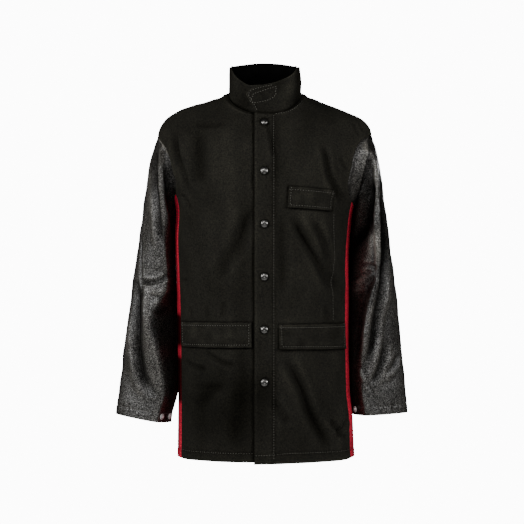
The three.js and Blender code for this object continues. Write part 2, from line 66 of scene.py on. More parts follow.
# Armholes from the side: height of the middle, reach up and down, reach to front and back, exponent
ARMHOLES = {"right": (-155, 70, 78, 2), "left": (-157, 74, 88, 2.8)}
ROW_SPLIT = -207  # below it the fronts' and back's rows lie nearly level, above it they fan out
SEAM_GAP = 0.25  # between each panel and its seam line
SHOULDER_ROWS = 215  # length of cloth that the rows above the split are counted from
SIDE_LENGTH, SIDE_COLUMNS = 540, 35  # of the side panels, for their grid
BACK_COARSENESS = 1.25  # step of the back's grid to that of the fronts
HEM_SEAM, LAP_SEAM, POCKET_SEAM = 18, 18, 141  # hem row over the edge, x of the two upright rows
# Angles from the shoulder line forward to the front's edge and to the back's, and the back's depth there
SHOULDER_EDGE, SHOULDER_TUCK, TUCK_DEPTH = 0.003, 0.02, 2.6
PANEL_FULLNESS = 1.12  # columns of a front or back to those that its straight width would take
HEM_ROW_END = 174  # x of the outer ends of the sewn hem rows
# Sections: level, reach to each side, to the front and to the back, and the middle's shift to the left
SECTIONS = [
    (-760, 183, 134, 125, 1),
    (-600, 179.5, 132, 118, -2),
    (-437, 180, 131, 107, -4),
    (-300, 183, 138, 113, -5),
    (-225, 188, 141, 121, 0),
    (-190, 200, 140, 124, 0),
    (-150, 216, 136, 125, 0),
    (-115, 225, 128, 122, 0),
    (-86, 225, 116, 115, 0),
    (-63, 217, 104, 107, 0),
    (-46, 201, 93, 100, -3),
    (-29, 167, 79, 92, -6),
    (-13, 122, 64, 83, -3),
    (-4, 96, 56, 79, 0),
    (0, NECK_HALF, 52, 77, 0),
    (7, 70, 48, 74, 0),
    (16, 60, 44, 70, 0),
]
# Folds seen from the front: half width, height over the surface, line of (x, z) points
FRONT_FOLDS = [
    (5, -3.2, [(-187, -73), (-183, -104), (-176, -137), (-166, -164), (-158, -213)]),
    (6, 2.0, [(-198, -93), (-191, -134), (-181, -184)]),
    (14, -4.0, [(-138, -66), (-136, -107), (-136, -148), (-132, -200)]),
    (6, -1.5, [(-152, -64), (-116, -68), (-75, -66)]),
    (4, -1.6, [(-172, -209), (-162, -225), (-154, -242)]),
    (4, -1.4, [(-175, -384), (-167, -386), (-156, -384)]),
    (12, -3.5, [(-24, -234), (-42, -280), (-58, -318), (-80, -355), (-94, -395)]),
    (5, -1.4, [(-82, -425), (-84, -445), (-86, -464)]),
    (4, -1.2, [(-119, -438), (-117, -452), (-117, -466)]),
    (4, -1.2, [(-153, -441), (-151, -455), (-149, -467)]),
    (5, -2.2, [(-125, -528), (-103, -543), (-83, -553), (-54, -561)]),
    (5, -2.2, [(-167, -551), (-143, -563), (-118, -567)]),
    (6, -1.0, [(-156, -602), (-117, -602), (-77, -598)]),
    (14, -1.4, [(-156, -645), (-117, -620), (-79, -594)]),
    (18, 2.2, [(-91, -597), (-95, -668), (-99, -732)]),
    (6, -3.6, [(117, -102), (125, -141), (131, -175), (145, -202), (163, -238)]),
    (4, -2.0, [(152, -133), (160, -150), (167, -166)]),
    (3.5, -1.4, [(181, -60), (187, -75), (193, -89)]),
    (3.5, -1.2, [(192, -57), (198, -70), (204, -82)]),
    (9, -4.6, [(51, -248), (71, -284), (89, -314), (119, -369), (144, -421)]),
    (8, -3.6, [(94, -255), (112, -304), (128, -351), (159, -422)]),
    (8, 1.8, [(71, -255), (97, -304), (120, -349), (140, -393)]),
    (9, -2.2, [(34, -248), (36, -324), (38, -425)]),
    (9, -5.2, [(37, -539), (57, -571), (73, -603), (91, -652), (116, -696), (140, -735)]),
    (8, -2.6, [(16, -625), (32, -653), (51, -679)]),
    (5, -3.0, [(131, -668), (146, -691), (166, -715)]),
    (5, -2.4, [(140, -713), (152, -693), (168, -670)]),
    (5, -1.4, [(125, -434), (127, -454), (127, -471)]),
    (14, -1.6, [(-40, -110), (-42, -300), (-44, -520), (-46, -735)]),
    (5, -2.2, [(2, -58), (9, -78), (14, -104), (17, -126), (24, -142)]),
    (3, -1.2, [(-20, -68), (-8, -57), (6, -54), (16, -48)]),
]
FOLD_GAIN = 2.3  # height of the made front folds to the height given
FOLD_FADE = 0.22  # share of a fold's length over which each end runs out
# Painted shade on the fronts: middle x and z, half width and height, strength
PAINTED_SHADE_PATCHES = [
    (-95, -645, 85, 90, 0.65),
    (-56, -640, 34, 100, 0.4),
    (0, -620, 26, 60, 0.45),
    (95, -660, 80, 80, 0.15),
    (-95, -380, 80, 70, 0.25),
    (112, -66, 50, 44, 0.15),
    (-112, -56, 70, 24, 0.15),
    (24, -130, 7, 70, 0.4),
]
# Heights between which the right side panel is painted black, as painted shade of the cloth's edge and the
# arm over it
RED_PAINTED_SHADE = [(-450, -530), (-538, -646)]
# Waves: height, pitch and seed. A sleeve's or a flap's own seed is added to the one given.
BODY_WAVES, BODY_RIPPLES = (1.7, 110, 3), (0.25, 32, 4)
HEM_WAVES, HEM_PUCKER = (1.5, 80, 5), (0.3, 9, 6)
LAP_WAVES, LAP_PUCKER = (0.9, 85, 9), (0.35, 11, 8)
SLEEVE_WAVES, SLEEVE_RIPPLES = (0.6, 70, 0), (0.12, 24, 5)
CUFF_PUCKER, HEAD_PUCKER = (0.35, 13, 9), (0.5, 15, 12)
FLAP_WAVES, FLAP_RIPPLES = (0.9, 55, 0), (0.25, 18, 1)
# Waves of painted shade for soft folds, and blotches of paler and darker cloth, given in the same way
BODY_PAINTED_SHADE_WAVES, BODY_BLOTCHES, FLAP_BLOTCHES = (0.07, 110, 3), (0.05, 42, 14), (0.1, 30, 77)
# The left side flares to the hem: its height, where it starts and the way to its full size
SIDE_FLARE, FLARE_START, FLARE_RUN = 4.2, -615, 60
BACK_FOLDS = [
    (20, 5, [(-120, -110), (-118, -290), (-96, -470)]),
    (20, 5, [(120, -110), (118, -290), (96, -470)]),
    (22, -5, [(-60, -380), (-66, -560), (-84, -740)]),
    (22, -5, [(58, -360), (64, -560), (80, -745)]),
    (9, -2, [(-170, -430), (-120, -445), (-70, -440)]),
    (9, -2, [(168, -415), (122, -436), (76, -438)]),
]

# Sleeve rings: outermost (x, z), height and depth of the inner edge, reach to front and back, and
# the share of the width from the inner edge where the front ridge runs on the right and the left
SLEEVE_RINGS = [
    (232, -104, -234, 0, 80, 80, 0.59, 0.8),
    (239, -135, -243, 12, 80, 83, 0.53, 0.82),
    (246, -178, -256, 20, 80, 86, 0.44, 0.77),
    (255, -240, -290, 25, 78, 86, 0.33, 0.7),
    (264, -308, -345, 27, 73, 84, 0.23, 0.68),
    (274, -380, -408, 27, 67, 80, 0.22, 0.6),
    (283, -455, -478, 26, 63, 68, 0.54, 0.4),
    (292, -530, -550, 25, 60, 54, 0.34, 0.24),
    (300, -605, -624, 22, 57, 40, 0.2, 0.19),
    (306, -664, -682, 12, 54, 30, 0.24, 0.22),
]
SLEEVE_LENGTH, SLEEVE_GIRTH = 610, 400  # of the leather, roughly, for its grid, hems and rows
CUFF_GIRTH, HEAD_GIRTH = 330, 430
SLEEVE_CLEARANCE = 1.0
SLEEVE_TUCK, SLEEVE_DEPTH = 0.8, 1.9  # its head edge passes this far under the body's cloth
# Cuffs: swing of the outer edge, opening of the inner edge, rise of the outer and inner edge
CUFFS = {"right": (6, 15, -3, -3), "left": (-6, 3, 0, 14)}
CUFF_OPEN_START = 0.86
CUFF_SEAM = 20  # height of the turned hem
ARMPIT_FULLNESS = 11  # behind the arm, where the sleeve closes on the body
RIDGE = 0.45  # share of the two-faced shape in the sleeve's rounded front
RIDGE_SOFTNESS = 0.004  # rounding of the line where the two faces meet
# Seam of the piece let in at the front of the left sleeve's head, as (x, z) points
GUSSET_SEAM = [(216, -91), (213, -128), (208, -153), (200, -184), (192, -215), (188, -254)]
SLEEVE_FOLDS = {
    "right": [
        (7, -7, [(-224, -93), (-227, -149), (-226, -200), (-220, -252), (-214, -303), (-206, -336)]),
        (5, 4, [(-215, -94), (-213, -149), (-212, -201), (-207, -252), (-199, -307)]),
        (9, -10, [(-265, -380), (-266, -448), (-266, -500), (-260, -556), (-250, -597), (-226, -632)]),
        (5, 4, [(-249, -423), (-243, -489), (-235, -551), (-225, -603), (-218, -634)]),
        (3, 2, [(-237, -464), (-228, -530), (-218, -582), (-212, -629)]),
        (4, -4.5, [(-262, -387), (-240, -391), (-216, -387), (-194, -374)]),
        (6, 3, [(-243, -408), (-220, -410), (-199, -404)]),
        (6, -2, [(-237, -443), (-220, -454), (-198, -443)]),
        (2.6, 1.6, [(-237, -628), (-229, -634), (-221, -625)]),
        (2.2, -2.6, [(-250, -220), (-254, -261), (-257, -303), (-257, -355), (-256, -407), (-252, -438)]),
    ],
    "left": [
        (4.5, 4.5, [(225, -122), (228, -169), (230, -252), (233, -314), (236, -371)]),
        (7, -8, [
            (241, -179), (242, -253), (245, -303), (246, -355),
            (245, -396), (232, -456), (216, -545), (196, -585),
        ]),
        (10, -9, [(219, -171), (217, -221), (209, -266), (194, -320)]),
        (5, 4, [(178, -398), (202, -386), (231, -371)]),
        (5, -2.4, [(180, -425), (200, -415), (221, -398)]),
        (4, -3, [(198, -355), (217, -355), (233, -365)]),
        (6, 5, [(237, -371), (221, -417), (212, -468), (207, -520), (197, -567)]),
        (4, 3, [(194, -566), (201, -586), (211, -605)]),
        (6, -6, [(253, -512), (246, -545), (237, -575), (222, -606)]),
        (6, 4, [(237, -500), (232, -540), (222, -575), (208, -598)]),
        (6, -4, [(285, -538), (270, -560), (252, -585)]),
        (7, 3, [(262, -540), (262, -566), (250, -600)]),
        (3, -1.6, [(209, -599), (220, -613), (228, -634)]),
        (2.6, -1.3, [(203, -615), (211, -622), (220, -626)]),
        (1.8, -1.4, GUSSET_SEAM),
    ],
}
# Painted highlights inside the left arm, given as folds are, with their strength for the height
ARM_PAINTED_LIGHT = [
    (15, 1.0, [(228, -270), (214, -340), (204, -380), (184, -436)]),
    (12, 0.5, [(222, -140), (214, -200), (205, -260), (196, -320)]),
]
SLEEVE_BACK_FOLDS = [
    (12, -5, [(205, -360), (235, -372), (266, -395)]),
    (12, -4, [(206, -430), (238, -424), (270, -425)]),
    (8, 3, [(200, -395), (235, -400), (266, -412)]),
]

# Collar
COLLAR_SIDE, COLLAR_BACK = 56, 76
COLLAR_LENGTH, COLLAR_HEIGHT = 520, 56  # of the cloth, for its weave and its pale edges, rubbed and with painted highlights
COLLAR_COLUMNS, COLLAR_ROWS = 250, 27
COLLAR_BLUNT = 1.05  # exponent of the top edge's rise to the back
COLLAR_WAVES = (500, 30, 52, 41)  # length and height that its waves are laid over, their pitch and seed
# Front top edge: place across the neck hole, from right to left, and height
COLLAR_FRONT = [
    (-1.0, COLLAR_SIDE),
    (-0.92, 44),
    (-0.56, 16),
    (-0.19, 13),
    (0.08, 15),
    (0.48, 24),
    (0.79, 38),
    (1.0, COLLAR_SIDE),
]
TAB_DROP, TAB_START, TAB_RUN = 10, math.radians(4), math.radians(40)  # its fall towards the tip
# Sewn box on the tab: share along the collar and of its height
TAB_BOX = [
    (0.975, 0.70),
    (0.968, 0.40),
    (0.945, 0.42),
    (0.905, 0.49),
    (0.890, 0.56),
    (0.884, 0.70),
    (0.892, 0.85),
    (0.930, 0.80),
    (0.965, 0.76),
    (0.975, 0.70),
]
# How far its top leans forward and draws in, and its foot's height over the neck edge
COLLAR_LEAN, COLLAR_TAPER, COLLAR_SEAM = 6, 3, 0.6
COLLAR_EASE = 3.5  # its top rises this much towards the shoulder line, to meet the back without a step
COLLAR_TUCK = 4  # its back reaches this far below the neck edge, inside the cloth
OVERLAP_TURN, UNDERLAP_TURN = math.radians(30), math.radians(8)  # of its two ends past the middle
COLLAR_SPIRAL = 4.2  # from the right end out to the left end that laps over it
# The tab's tip: share of the height where it is longest, and its cut above and below that
TAB_POINT, TAB_CORNER, TAB_SLANT = 0.75, math.radians(9), math.radians(18)

# Flaps: x of the two ends, heights of the upper and lower corners
FLAPS = {
    "chest_flap": (46, 137, -195, -202, -239, -245),
    "right_hip_flap": (-171, -26, -471, -470, -523, -522),
    "left_hip_flap": (27, 165, -474, -474, -525, -528),
}
FLAP_FULLNESS = 1.1  # length round the body to width seen from the front
FLAP_SEAM, FLAP_TOP_SEAM = 6, 7  # rows from the ends and foot, and from the top
FLAP_GRID = 1.6
# How far a flap stands off at its top, how much more at its foot, and less at a hip flap's outer end
FLAP_STAND, FLAP_FOOT, FLAP_END = 2.6, 3.6, 3.4
SNAP_X, SNAP_LEVELS = -1.0, [-65, -165, -271.7, -378.4, -485.1, -591.8]
SNAP_HEIGHT, CUFF_SNAP_HEIGHT = 4.2, 3.2
# Turns of the cuff snaps round their sleeve, and their share of its length
CUFF_SNAPS = {"right": (0.368, 0.436), "left": (0.42, 0.6)}
CUFF_SNAP_ALONG = 0.978
# Half profiles of the snaps, from the middle of the foot to the top: share of radius and of height
FRONT_CAP = [
    (0, 0), (0.94, 0), (1.0, 0.12), (1.0, 0.3), (0.95, 0.42), (0.88, 0.44), (0.84, 0.46),
    (0.76, 0.6), (0.64, 0.75), (0.5, 0.86), (0.34, 0.94), (0.16, 0.985), (0, 1.0),
]
CUFF_CAP = [
    (0, 0), (0.92, 0), (1.0, 0.15), (1.0, 0.45), (0.93, 0.62), (0.82, 0.62), (0.74, 0.45),
    (0.58, 0.45), (0.5, 0.7), (0.42, 0.95), (0.25, 1.0), (0, 1.0),
]
FRONT_RIM_SHADE, CUFF_CHANNEL_SHADE = range(6), range(6, 7)  # bands of the profiles painted dark, as painted shade on the rim and in the channel

# Stage: the floor in millimetres, the lights' places and sizes in metres, and the white surroundings
FLOOR_RADIUS, FLOOR_SIDES = 1700, 64
LIGHTS = [
    ("left", (-1.75, -1.35, 0.25), 0.6),
    ("right", (1.8, -1.2, 0.2), 0.6),
    ("top", (-0.5, -1.9, 0.9), 0.5),
    ("fill", (0.6, -1.9, 0.4), 0.5),
    ("low", (0.1, -2.3, -1.1), 0.5),
    ("back", (0.4, 2.6, 0.1), 1.2),
]
LIGHT_AIM = (0, 0, -0.4)
SEEN_WHITE, SKY_LIGHT = 12.0, 0.012
SENSOR_WIDTH = 36  # of the camera, in millimetres


# Curves and lines


def smooth(t):
    t = np.clip(t, 0.0, 1.0)
    return t * t * (3 - 2 * t)


def mix(a, b, t):
    return a + (b - a) * t


def curve_through(xs, ys):
    """A smooth function through points whose xs rise."""
    xs, ys = np.asarray(xs, float), np.asarray(ys, float)
    step = np.diff(xs)
    slope = np.diff(ys) / step
    inner = (step[:-1] * slope[1:] + step[1:] * slope[:-1]) / (step[:-1] + step[1:])
    tangent = np.concatenate([slope[:1], inner, slope[-1:]])

    def at(x):
        x = np.asarray(x, float)
        i = np.clip(np.searchsorted(xs, x) - 1, 0, len(step) - 1)
        t, h = (x - xs[i]) / step[i], step[i]
        a, b = ys[i], ys[i + 1]
        return (
            a * (1 + 2 * t) * (1 - t) ** 2
            + b * t * t * (3 - 2 * t)
            + h * tangent[i] * t * (1 - t) ** 2
            - h * tangent[i + 1] * t * t * (1 - t)
        )

    return at


def lengths(points):
    """Length of the way from the first point to each one."""
    return np.concatenate([[0.0], np.cumsum(np.linalg.norm(np.diff(points, axis=0), axis=1))])


def dense(points, count=25):
    """Points spread along a smooth curve through a few."""
    points = np.asarray(points, float)
    at = lengths(points)
    wanted = np.linspace(0, at[-1], count)
    return np.stack([curve_through(at, column)(wanted) for column in points.T], axis=1)


def off_line(x, z, line):
    """Distance of points from a line in the same plane, and how far along it they lie, 0 to 1."""
    a, d = line[:-1], np.diff(line, axis=0)
    at = lengths(line)
    gx, gz = x[:, None] - a[:, 0], z[:, None] - a[:, 1]
    t = np.clip((gx * d[:, 0] + gz * d[:, 1]) / (d**2).sum(axis=1), 0, 1)
    far = np.hypot(gx - t * d[:, 0], gz - t * d[:, 1])
    best = far.argmin(axis=1)
    row = np.arange(len(x))
    along = (at[best] + t[row, best] * np.diff(at)[best]) / at[-1]
    return far[row, best], along


def fold_lift(folds, x, z, gain=1.0):
    """Summed height of folds at points of the plane that they are drawn in."""
    lift = np.zeros(len(x))
    for width, height, points in folds:
        line = dense(points)
        low, high = line.min(axis=0) - 4 * width, line.max(axis=0) + 4 * width
        near = (x > low[0]) & (x < high[0]) & (z > low[1]) & (z < high[1])
        if not near.any():
            continue
        far, along = off_line(x[near], z[near], line)
        r = far / width
        shape = np.exp(-(r**1.4)) - 0.4 * np.exp(-(((r - 1.9) / 0.8) ** 2))
        lift[near] += gain * height * shape * smooth(along / FOLD_FADE) * smooth((1 - along) / FOLD_FADE)
    return lift


def ripple(points, pitch, seed, count=30):
    """Gentle random waves of about one pitch, of unit height."""
    rng = np.random.default_rng(seed)
    way = rng.normal(size=(count, points.shape[1]))
    way /= np.linalg.norm(way, axis=1)[:, None]
    way *= (2 * np.pi / (pitch * rng.uniform(0.7, 1.5, count)))[:, None]
    phase = rng.uniform(0, 2 * np.pi, count)
    return np.cos(points @ way.T + phase).sum(axis=1) * math.sqrt(2 / count)


def waves(points, wave, seed=0):
    height, pitch, own_seed = wave
    return height * ripple(points, pitch, seed + own_seed)


def bell(x, width):
    return np.exp(-((x / width) ** 2))


# Body surface


half_at, front_at, back_at, shift_at = (
    curve_through([row[0] for row in SECTIONS], [row[k] for row in SECTIONS]) for k in (1, 2, 3, 4)
)


def depth_at(front, level):
    return np.where(front, front_at(level), back_at(level))


def angle_at_x(x, level):
    aside = x - shift_at(level)
    share = np.minimum(1, np.abs(aside) / half_at(level))
    return np.sign(aside) * np.arcsin(share ** (SQUARENESS / 2))


def angle_at_y(y, level):
    share = np.minimum(1, np.abs(y) / depth_at(y < 0, level))
    turn = np.arccos(share ** (SQUARENESS / 2))
    return np.where(y < 0, turn, np.pi - turn)


def body_point(angle, level):
    s, c = np.sin(angle), np.cos(angle)
    x = shift_at(level) + half_at(level) * np.sign(s) * np.abs(s) ** (2 / SQUARENESS)
    y = -depth_at(c > 0, level) * np.sign(c) * np.abs(c) ** (2 / SQUARENESS)
    return np.stack([x, y, level + 0 * angle], axis=-1)


def body_normal(point):
    x, y, z = point[..., 0], point[..., 1], point[..., 2]
    front = y < 0
    half, depth = half_at(z), depth_at(front, z)
    half_slope = (half_at(z + 1) - half_at(z - 1)) / 2
    depth_slope = (depth_at(front, z + 1) - depth_at(front, z - 1)) / 2
    shift_slope = (shift_at(z + 1) - shift_at(z - 1)) / 2
    aside = x - shift_at(z)
    u, v = np.abs(aside) / half, np.abs(y) / depth
    across, ahead = np.sign(aside) * u ** (SQUARENESS - 1), v ** (SQUARENESS - 1)
    normal = np.stack(
        [
            across / half,
            np.sign(y) * ahead / depth,
            -(across * shift_slope + u**SQUARENESS * half_slope) / half - v * ahead * depth_slope / depth,
        ],
        axis=-1,
    )
    return normal / np.linalg.norm(normal, axis=-1, keepdims=True)


def lap_lift(x):
    return LAP_LIFT * smooth((LAP_END - x) / (LAP_END - LAP_INNER))


def hem_level(piece, x):
    """Height of the hem edge; the lapping corner hangs lower."""
    if piece == "left_front":
        return HEM - LAP_DROP * smooth((DROP_START - x) / DROP_RUN)
    return HEM + 0 * x


def neck_distance(x, z):
    """Distance below the front neck edge, roughly."""
    return (np.hypot(x / NECK_HALF, np.minimum(z, 0) / NECK_FRONT) - 1) * 60


def seam_distance(x, y, z):
    """Distance from the nearest side, armhole, shoulder or neck seam, roughly."""
    side_seam, shoulder = np.abs(np.abs(y) - SIDE_SEAM), np.abs(y)
    far = np.empty(len(x))
    for side in (1, -1):
        middle, height, reach, power = armhole_of(side)
        own = x * side >= 0
        oval = (np.abs(y / reach) ** power + np.abs((z - middle) / height) ** power) ** (1 / power)
        here = np.where(z < seam_top(side), side_seam, np.abs(oval - 1) * height)
        here = np.where(z > middle + height - 4, np.minimum(here, shoulder), here)
        far[own] = here[own]
    neck = np.hypot(x / NECK_HALF, z / NECK_FRONT)
    return np.where((y < 0) & (z < 0), np.minimum(far, np.abs(neck - 1) * 55), far)


def body_folds(piece, point):
    """Height of the main folds over the plain body surface."""
    x, y, z = point.T
    lift = np.zeros(len(x))
    front = y < 0
    side = smooth(np.abs(y) / SIDE_SEAM)
    lift[front] += side[front] * fold_lift(FRONT_FOLDS, x[front], z[front], FOLD_GAIN)
    lift[~front] += side[~front] * fold_lift(BACK_FOLDS, x[~front], z[~front])
    lift += SIDE_FLARE * smooth((FLARE_START - z) / FLARE_RUN) * smooth((x - 130) / 40)
    if piece == "right_front":
        lift -= 1.8 * bell(x - LAP_EDGE + 2, 2.2)
    return lift


def body_lift(piece, point):
    """Height of the finished cloth over the plain body surface."""
    x, y, z = point.T
    lift = body_folds(piece, point)
    calm = smooth(seam_distance(x, y, z) / 40) * (0.1 if piece.endswith("side") else 1)
    hung = point * (1, 1, 0.5)
    lift += calm * (waves(hung, BODY_WAVES) + waves(hung, BODY_RIPPLES))
    hem = z - hem_level(piece, x)
    lift += smooth(1 - hem / 130) * waves(point[:, :2], HEM_WAVES)
    lift += 0.4 * (1 - smooth((hem - HEM_SEAM + 2.5) / 3)) - 0.55 * bell(hem - HEM_SEAM, 2.2)
    lift += waves(point[:, :2], HEM_PUCKER) * bell(hem - HEM_SEAM, 9)
    lift -= mix(0.8, 0.2, smooth((z + 70) / 40)) * bell(seam_distance(x, y, z), 2.0)
    lift += np.where(y < 0, 1.1 * bell(neck_distance(x, z) - 7, 2.5), 0)
    if piece == "back":
        lift -= np.where(y < 0, TUCK_DEPTH, 0)
    if piece == "left_front":
        lift += lap_lift(x)
        lift -= 0.55 * bell(x - LAP_SEAM, 2.0)
        lift += waves(point[:, 2:], LAP_PUCKER) * bell(x - LAP_SEAM, 9)
        lift -= 0.9 * bell(x - LAP_EDGE, 1.6)
        lift += waves(point[:, 2:], LAP_WAVES) * smooth(1 - (x - LAP_EDGE) / 40)
    return lift


def body_skin(piece, angle, level):
    """Finished surface points of a body panel and the plain normals under them."""
    shape = np.shape(angle)
    base = body_point(np.ravel(angle), np.ravel(level))
    normal = body_normal(base)
    points = base + normal * body_lift(piece, base)[:, None]
    x, y, _ = base.T
    rise = smooth((96 - np.abs(x)) / 20) * bell(y, 34)
    points += np.stack([1.2 * np.sign(x) * rise, 0 * x, NECK_RISE * rise], axis=1)
    return points.reshape(*shape, 3), normal.reshape(*shape, 3)


def body_wear_and_shade(piece, angle, level):
    """Wear and painted light on the cloth: up to 1 where edges are rubbed pale and where fold crests and
    edges carry painted highlights, down to -1 for painted shade in folds, in stitch grooves, under the collar
    and the lap, round flaps and snaps, in listed patches and in bands of the right side panel, which is also
    painted paler towards its top.
    """
    base = body_point(np.ravel(angle), np.ravel(level))
    x, y, z = base.T
    # Painted shade in the folds' hollows and a faint painted highlight on their crests
    wear = np.clip(body_folds(piece, base) * 0.055, -0.7, 0.1)
    hem, neck = z - hem_level(piece, x), neck_distance(x, z)
    # Pale hem edge, rubbed and with a painted highlight, and painted shade in the groove by the hem's
    # stitching
    wear += 0.4 * bell(hem, 2.2) - 0.3 * bell(hem - HEM_SEAM, 4)
    # Pale line along the seams, rubbed and with a painted highlight
    wear += 0.2 * bell(seam_distance(x, y, z) - 2.6, 2.0)
    # Pale line along the neck's stitching, and painted shade under the collar
    wear += np.where(y < 0, 0.25 * bell(neck - 7, 2.0) - 0.8 * bell(neck - 2, 3), 0)
    if piece.endswith("front"):
        # Painted shadow round the pocket flaps
        wear -= 0.75 * flap_shade(x, z)
        # Painted shade in listed patches on the fronts
        for middle, height, wide, tall, strength in PAINTED_SHADE_PATCHES:
            wear -= strength * bell(x - middle, wide) * bell(z - height, tall)
    hung = base * (1, 1, 0.5)
    # Waves of painted shade for soft folds, and random blotches of tone
    wear += waves(hung, BODY_PAINTED_SHADE_WAVES) + waves(hung, BODY_BLOTCHES)
    if piece == "left_front":
        # Painted highlight along the lap's edge and painted shadow right at it
        wear += 0.3 * bell(x - LAP_EDGE - 3.6, 2.0) - 1.2 * bell(x - LAP_EDGE, 1.4)
        # Painted shade in the groove by the lap's stitching
        wear -= 0.45 * bell(x - LAP_SEAM, 4.5)
        # Painted shadow ringing each snap
        for snap_level in SNAP_LEVELS:
            wear -= bell(np.hypot(x - SNAP_X, z - snap_level) - 8.4, 1.5)
    if piece == "right_front":
        # Painted shadow of the lap's edge on the right front
        wear -= 1.3 * bell(x - LAP_EDGE + 1, 1.6)
    if piece == "right_side":
        # Painted light: the right side panel paler towards its top
        wear += 0.35 * smooth((z + 330) / 110)
        # Painted shade: the right side panel black in bands behind the arm
        for top, low in RED_PAINTED_SHADE:
            wear -= smooth((top - z) / 14) * smooth((z - low) / 14) * smooth((5 - y) / 20)
    return np.clip(wear, -1, 1).reshape(np.shape(angle))


def flap_shade(x, z):
    """Shade on the cloth round the pocket flaps, 1 at their edges."""
    shade_here = np.zeros(np.shape(x))
    for x0, x1, top0, top1, low0, low1 in FLAPS.values():
        share = np.clip((x - x0) / (x1 - x0), 0, 1)
        aside = np.maximum(np.maximum(x0 - x, x - x1), 0)
        beyond = np.maximum(np.maximum(mix(low0, low1, share) - z, z - mix(top0, top1, share)), 0)
        shade_here = np.maximum(shade_here, bell(np.hypot(aside, beyond), 1.8))
    return shade_here


# Edges of the body panels, as (angle, level). Those of the wearer's right are given mirrored.


def angle_aside(side, x, level):
    return side * angle_at_x(side * x, level)


def neck_edge(front, turn, side=1):
    level = (NECK_FRONT if front else NECK_BACK) * np.cos(turn)
    angle = angle_aside(side, NECK_HALF * np.sin(turn), level)
    return np.stack([angle if front else np.pi - angle, level], axis=-1)


def armhole_of(side):
    return ARMHOLES["left" if side > 0 else "right"]


def armhole_edge(side, turn, grow=0.0):
    middle, height, reach, power = armhole_of(side)
    c, s = (np.sign(v) * np.abs(v) ** (2 / power) for v in (np.cos(turn), np.sin(turn)))
    level = middle + (height + grow) * c
    return np.stack([angle_at_y(-(reach + grow) * s, level), level], axis=-1)


def armhole_turn(side, y):
    """The turn where the lower half of an armhole passes a depth."""
    _, _, reach, power = armhole_of(side)
    return np.pi + np.sign(y) * np.arcsin((np.abs(y) / reach) ** (power / 2))


def seam_top(side):
    """Height where a side seam meets its armhole."""
    return float(armhole_edge(side, armhole_turn(side, -SIDE_SEAM))[1])


NECK_SHARE = 0.64  # share of the armhole's rows that start on the centre edge


def spread(start, end, steps):
    """Rows of places spread evenly by length on the body between pairs of places."""
    fine = np.linspace(0, 1, 241)
    path = start[:, None] + (end - start)[:, None] * fine[None, :, None]
    points = body_point(path[..., 0], path[..., 1])
    step = np.linalg.norm(np.diff(points, axis=1), axis=2)
    way = np.concatenate([np.zeros((len(start), 1)), np.cumsum(step, axis=1)], axis=1)
    share = np.stack([np.interp(np.linspace(0, w[-1], steps + 1), w, fine) for w in way])
    return start[:, None] + (end - start)[:, None] * share[..., None], way[:, -1]


def panel_grid(piece, side, front, centre_x, step):
    """Grid of surface points, normals and cloth coordinates of a front or half a back."""
    neck_start = math.asin(centre_x / NECK_HALF)
    neck_level = float(neck_edge(front, neck_start, side)[1])
    lower = np.linspace(0, 1, round((ROW_SPLIT - HEM) / step) + 1)
    upper = np.linspace(0, 1, round(SHOULDER_ROWS / step) + 1)[1:]
    level = np.concatenate([mix(HEM, ROW_SPLIT, lower), mix(ROW_SPLIT, neck_level, upper / NECK_SHARE)])
    plain = angle_aside(side, centre_x + 0 * level, np.minimum(level, neck_level))
    inner = np.stack([plain if front else np.pi - plain, level], axis=-1)
    past = np.concatenate([0 * lower - 1, (upper - NECK_SHARE) / (1 - NECK_SHARE)])
    on_neck = past > 0
    inner[on_neck] = neck_edge(front, mix(neck_start, math.pi / 2, past[on_neck]), side)
    seam_y = (SIDE_SEAM + SEAM_GAP) * (-1 if front else 1)
    seam = mix(HEM, seam_top(side), lower)
    low_edge = np.stack([angle_at_y(seam_y + 0 * seam, seam), seam], axis=-1)
    turn = mix(armhole_turn(side, -SIDE_SEAM), 0, upper) * (1 if front else -1)
    high_edge = armhole_edge(side, turn, SEAM_GAP)
    outer = np.concatenate([low_edge, high_edge])
    for edge in (inner, outer):
        edge[-1, 0] = math.pi / 2 - (SHOULDER_EDGE if front else SHOULDER_TUCK)
    if piece == "left_front":
        drop = LAP_DROP * smooth(1 - lower / DROP_ROWS)
        inner[: len(lower), 1] -= drop
    straight = np.linalg.norm(body_point(*inner[0]) - body_point(*outer[0]))
    columns = round(straight * PANEL_FULLNESS / step)
    places, width = spread(inner, outer, columns)
    angle = places[..., 0] * side
    points, normals = body_skin(piece, angle, places[..., 1])
    across = np.linspace(0, 1, columns + 1)[None] * width[:, None] * side
    up = np.repeat(lengths(points[:, 0])[:, None], columns + 1, axis=1)
    wear = body_wear_and_shade(piece, angle, places[..., 1])
    return points, normals, np.stack([across, up], axis=-1), wear


# Mesh building


PANEL_SLOTS = {"cotton": "black_cotton", "red": "red_cotton", "leather": "black_leather"}
THREAD_HALF, THREAD_HIGH = 0.42, 0.4
MERGE_STEPS = 50  # to the millimetre: points that round to the same step are shared
SHARP_RIM = math.radians(48)


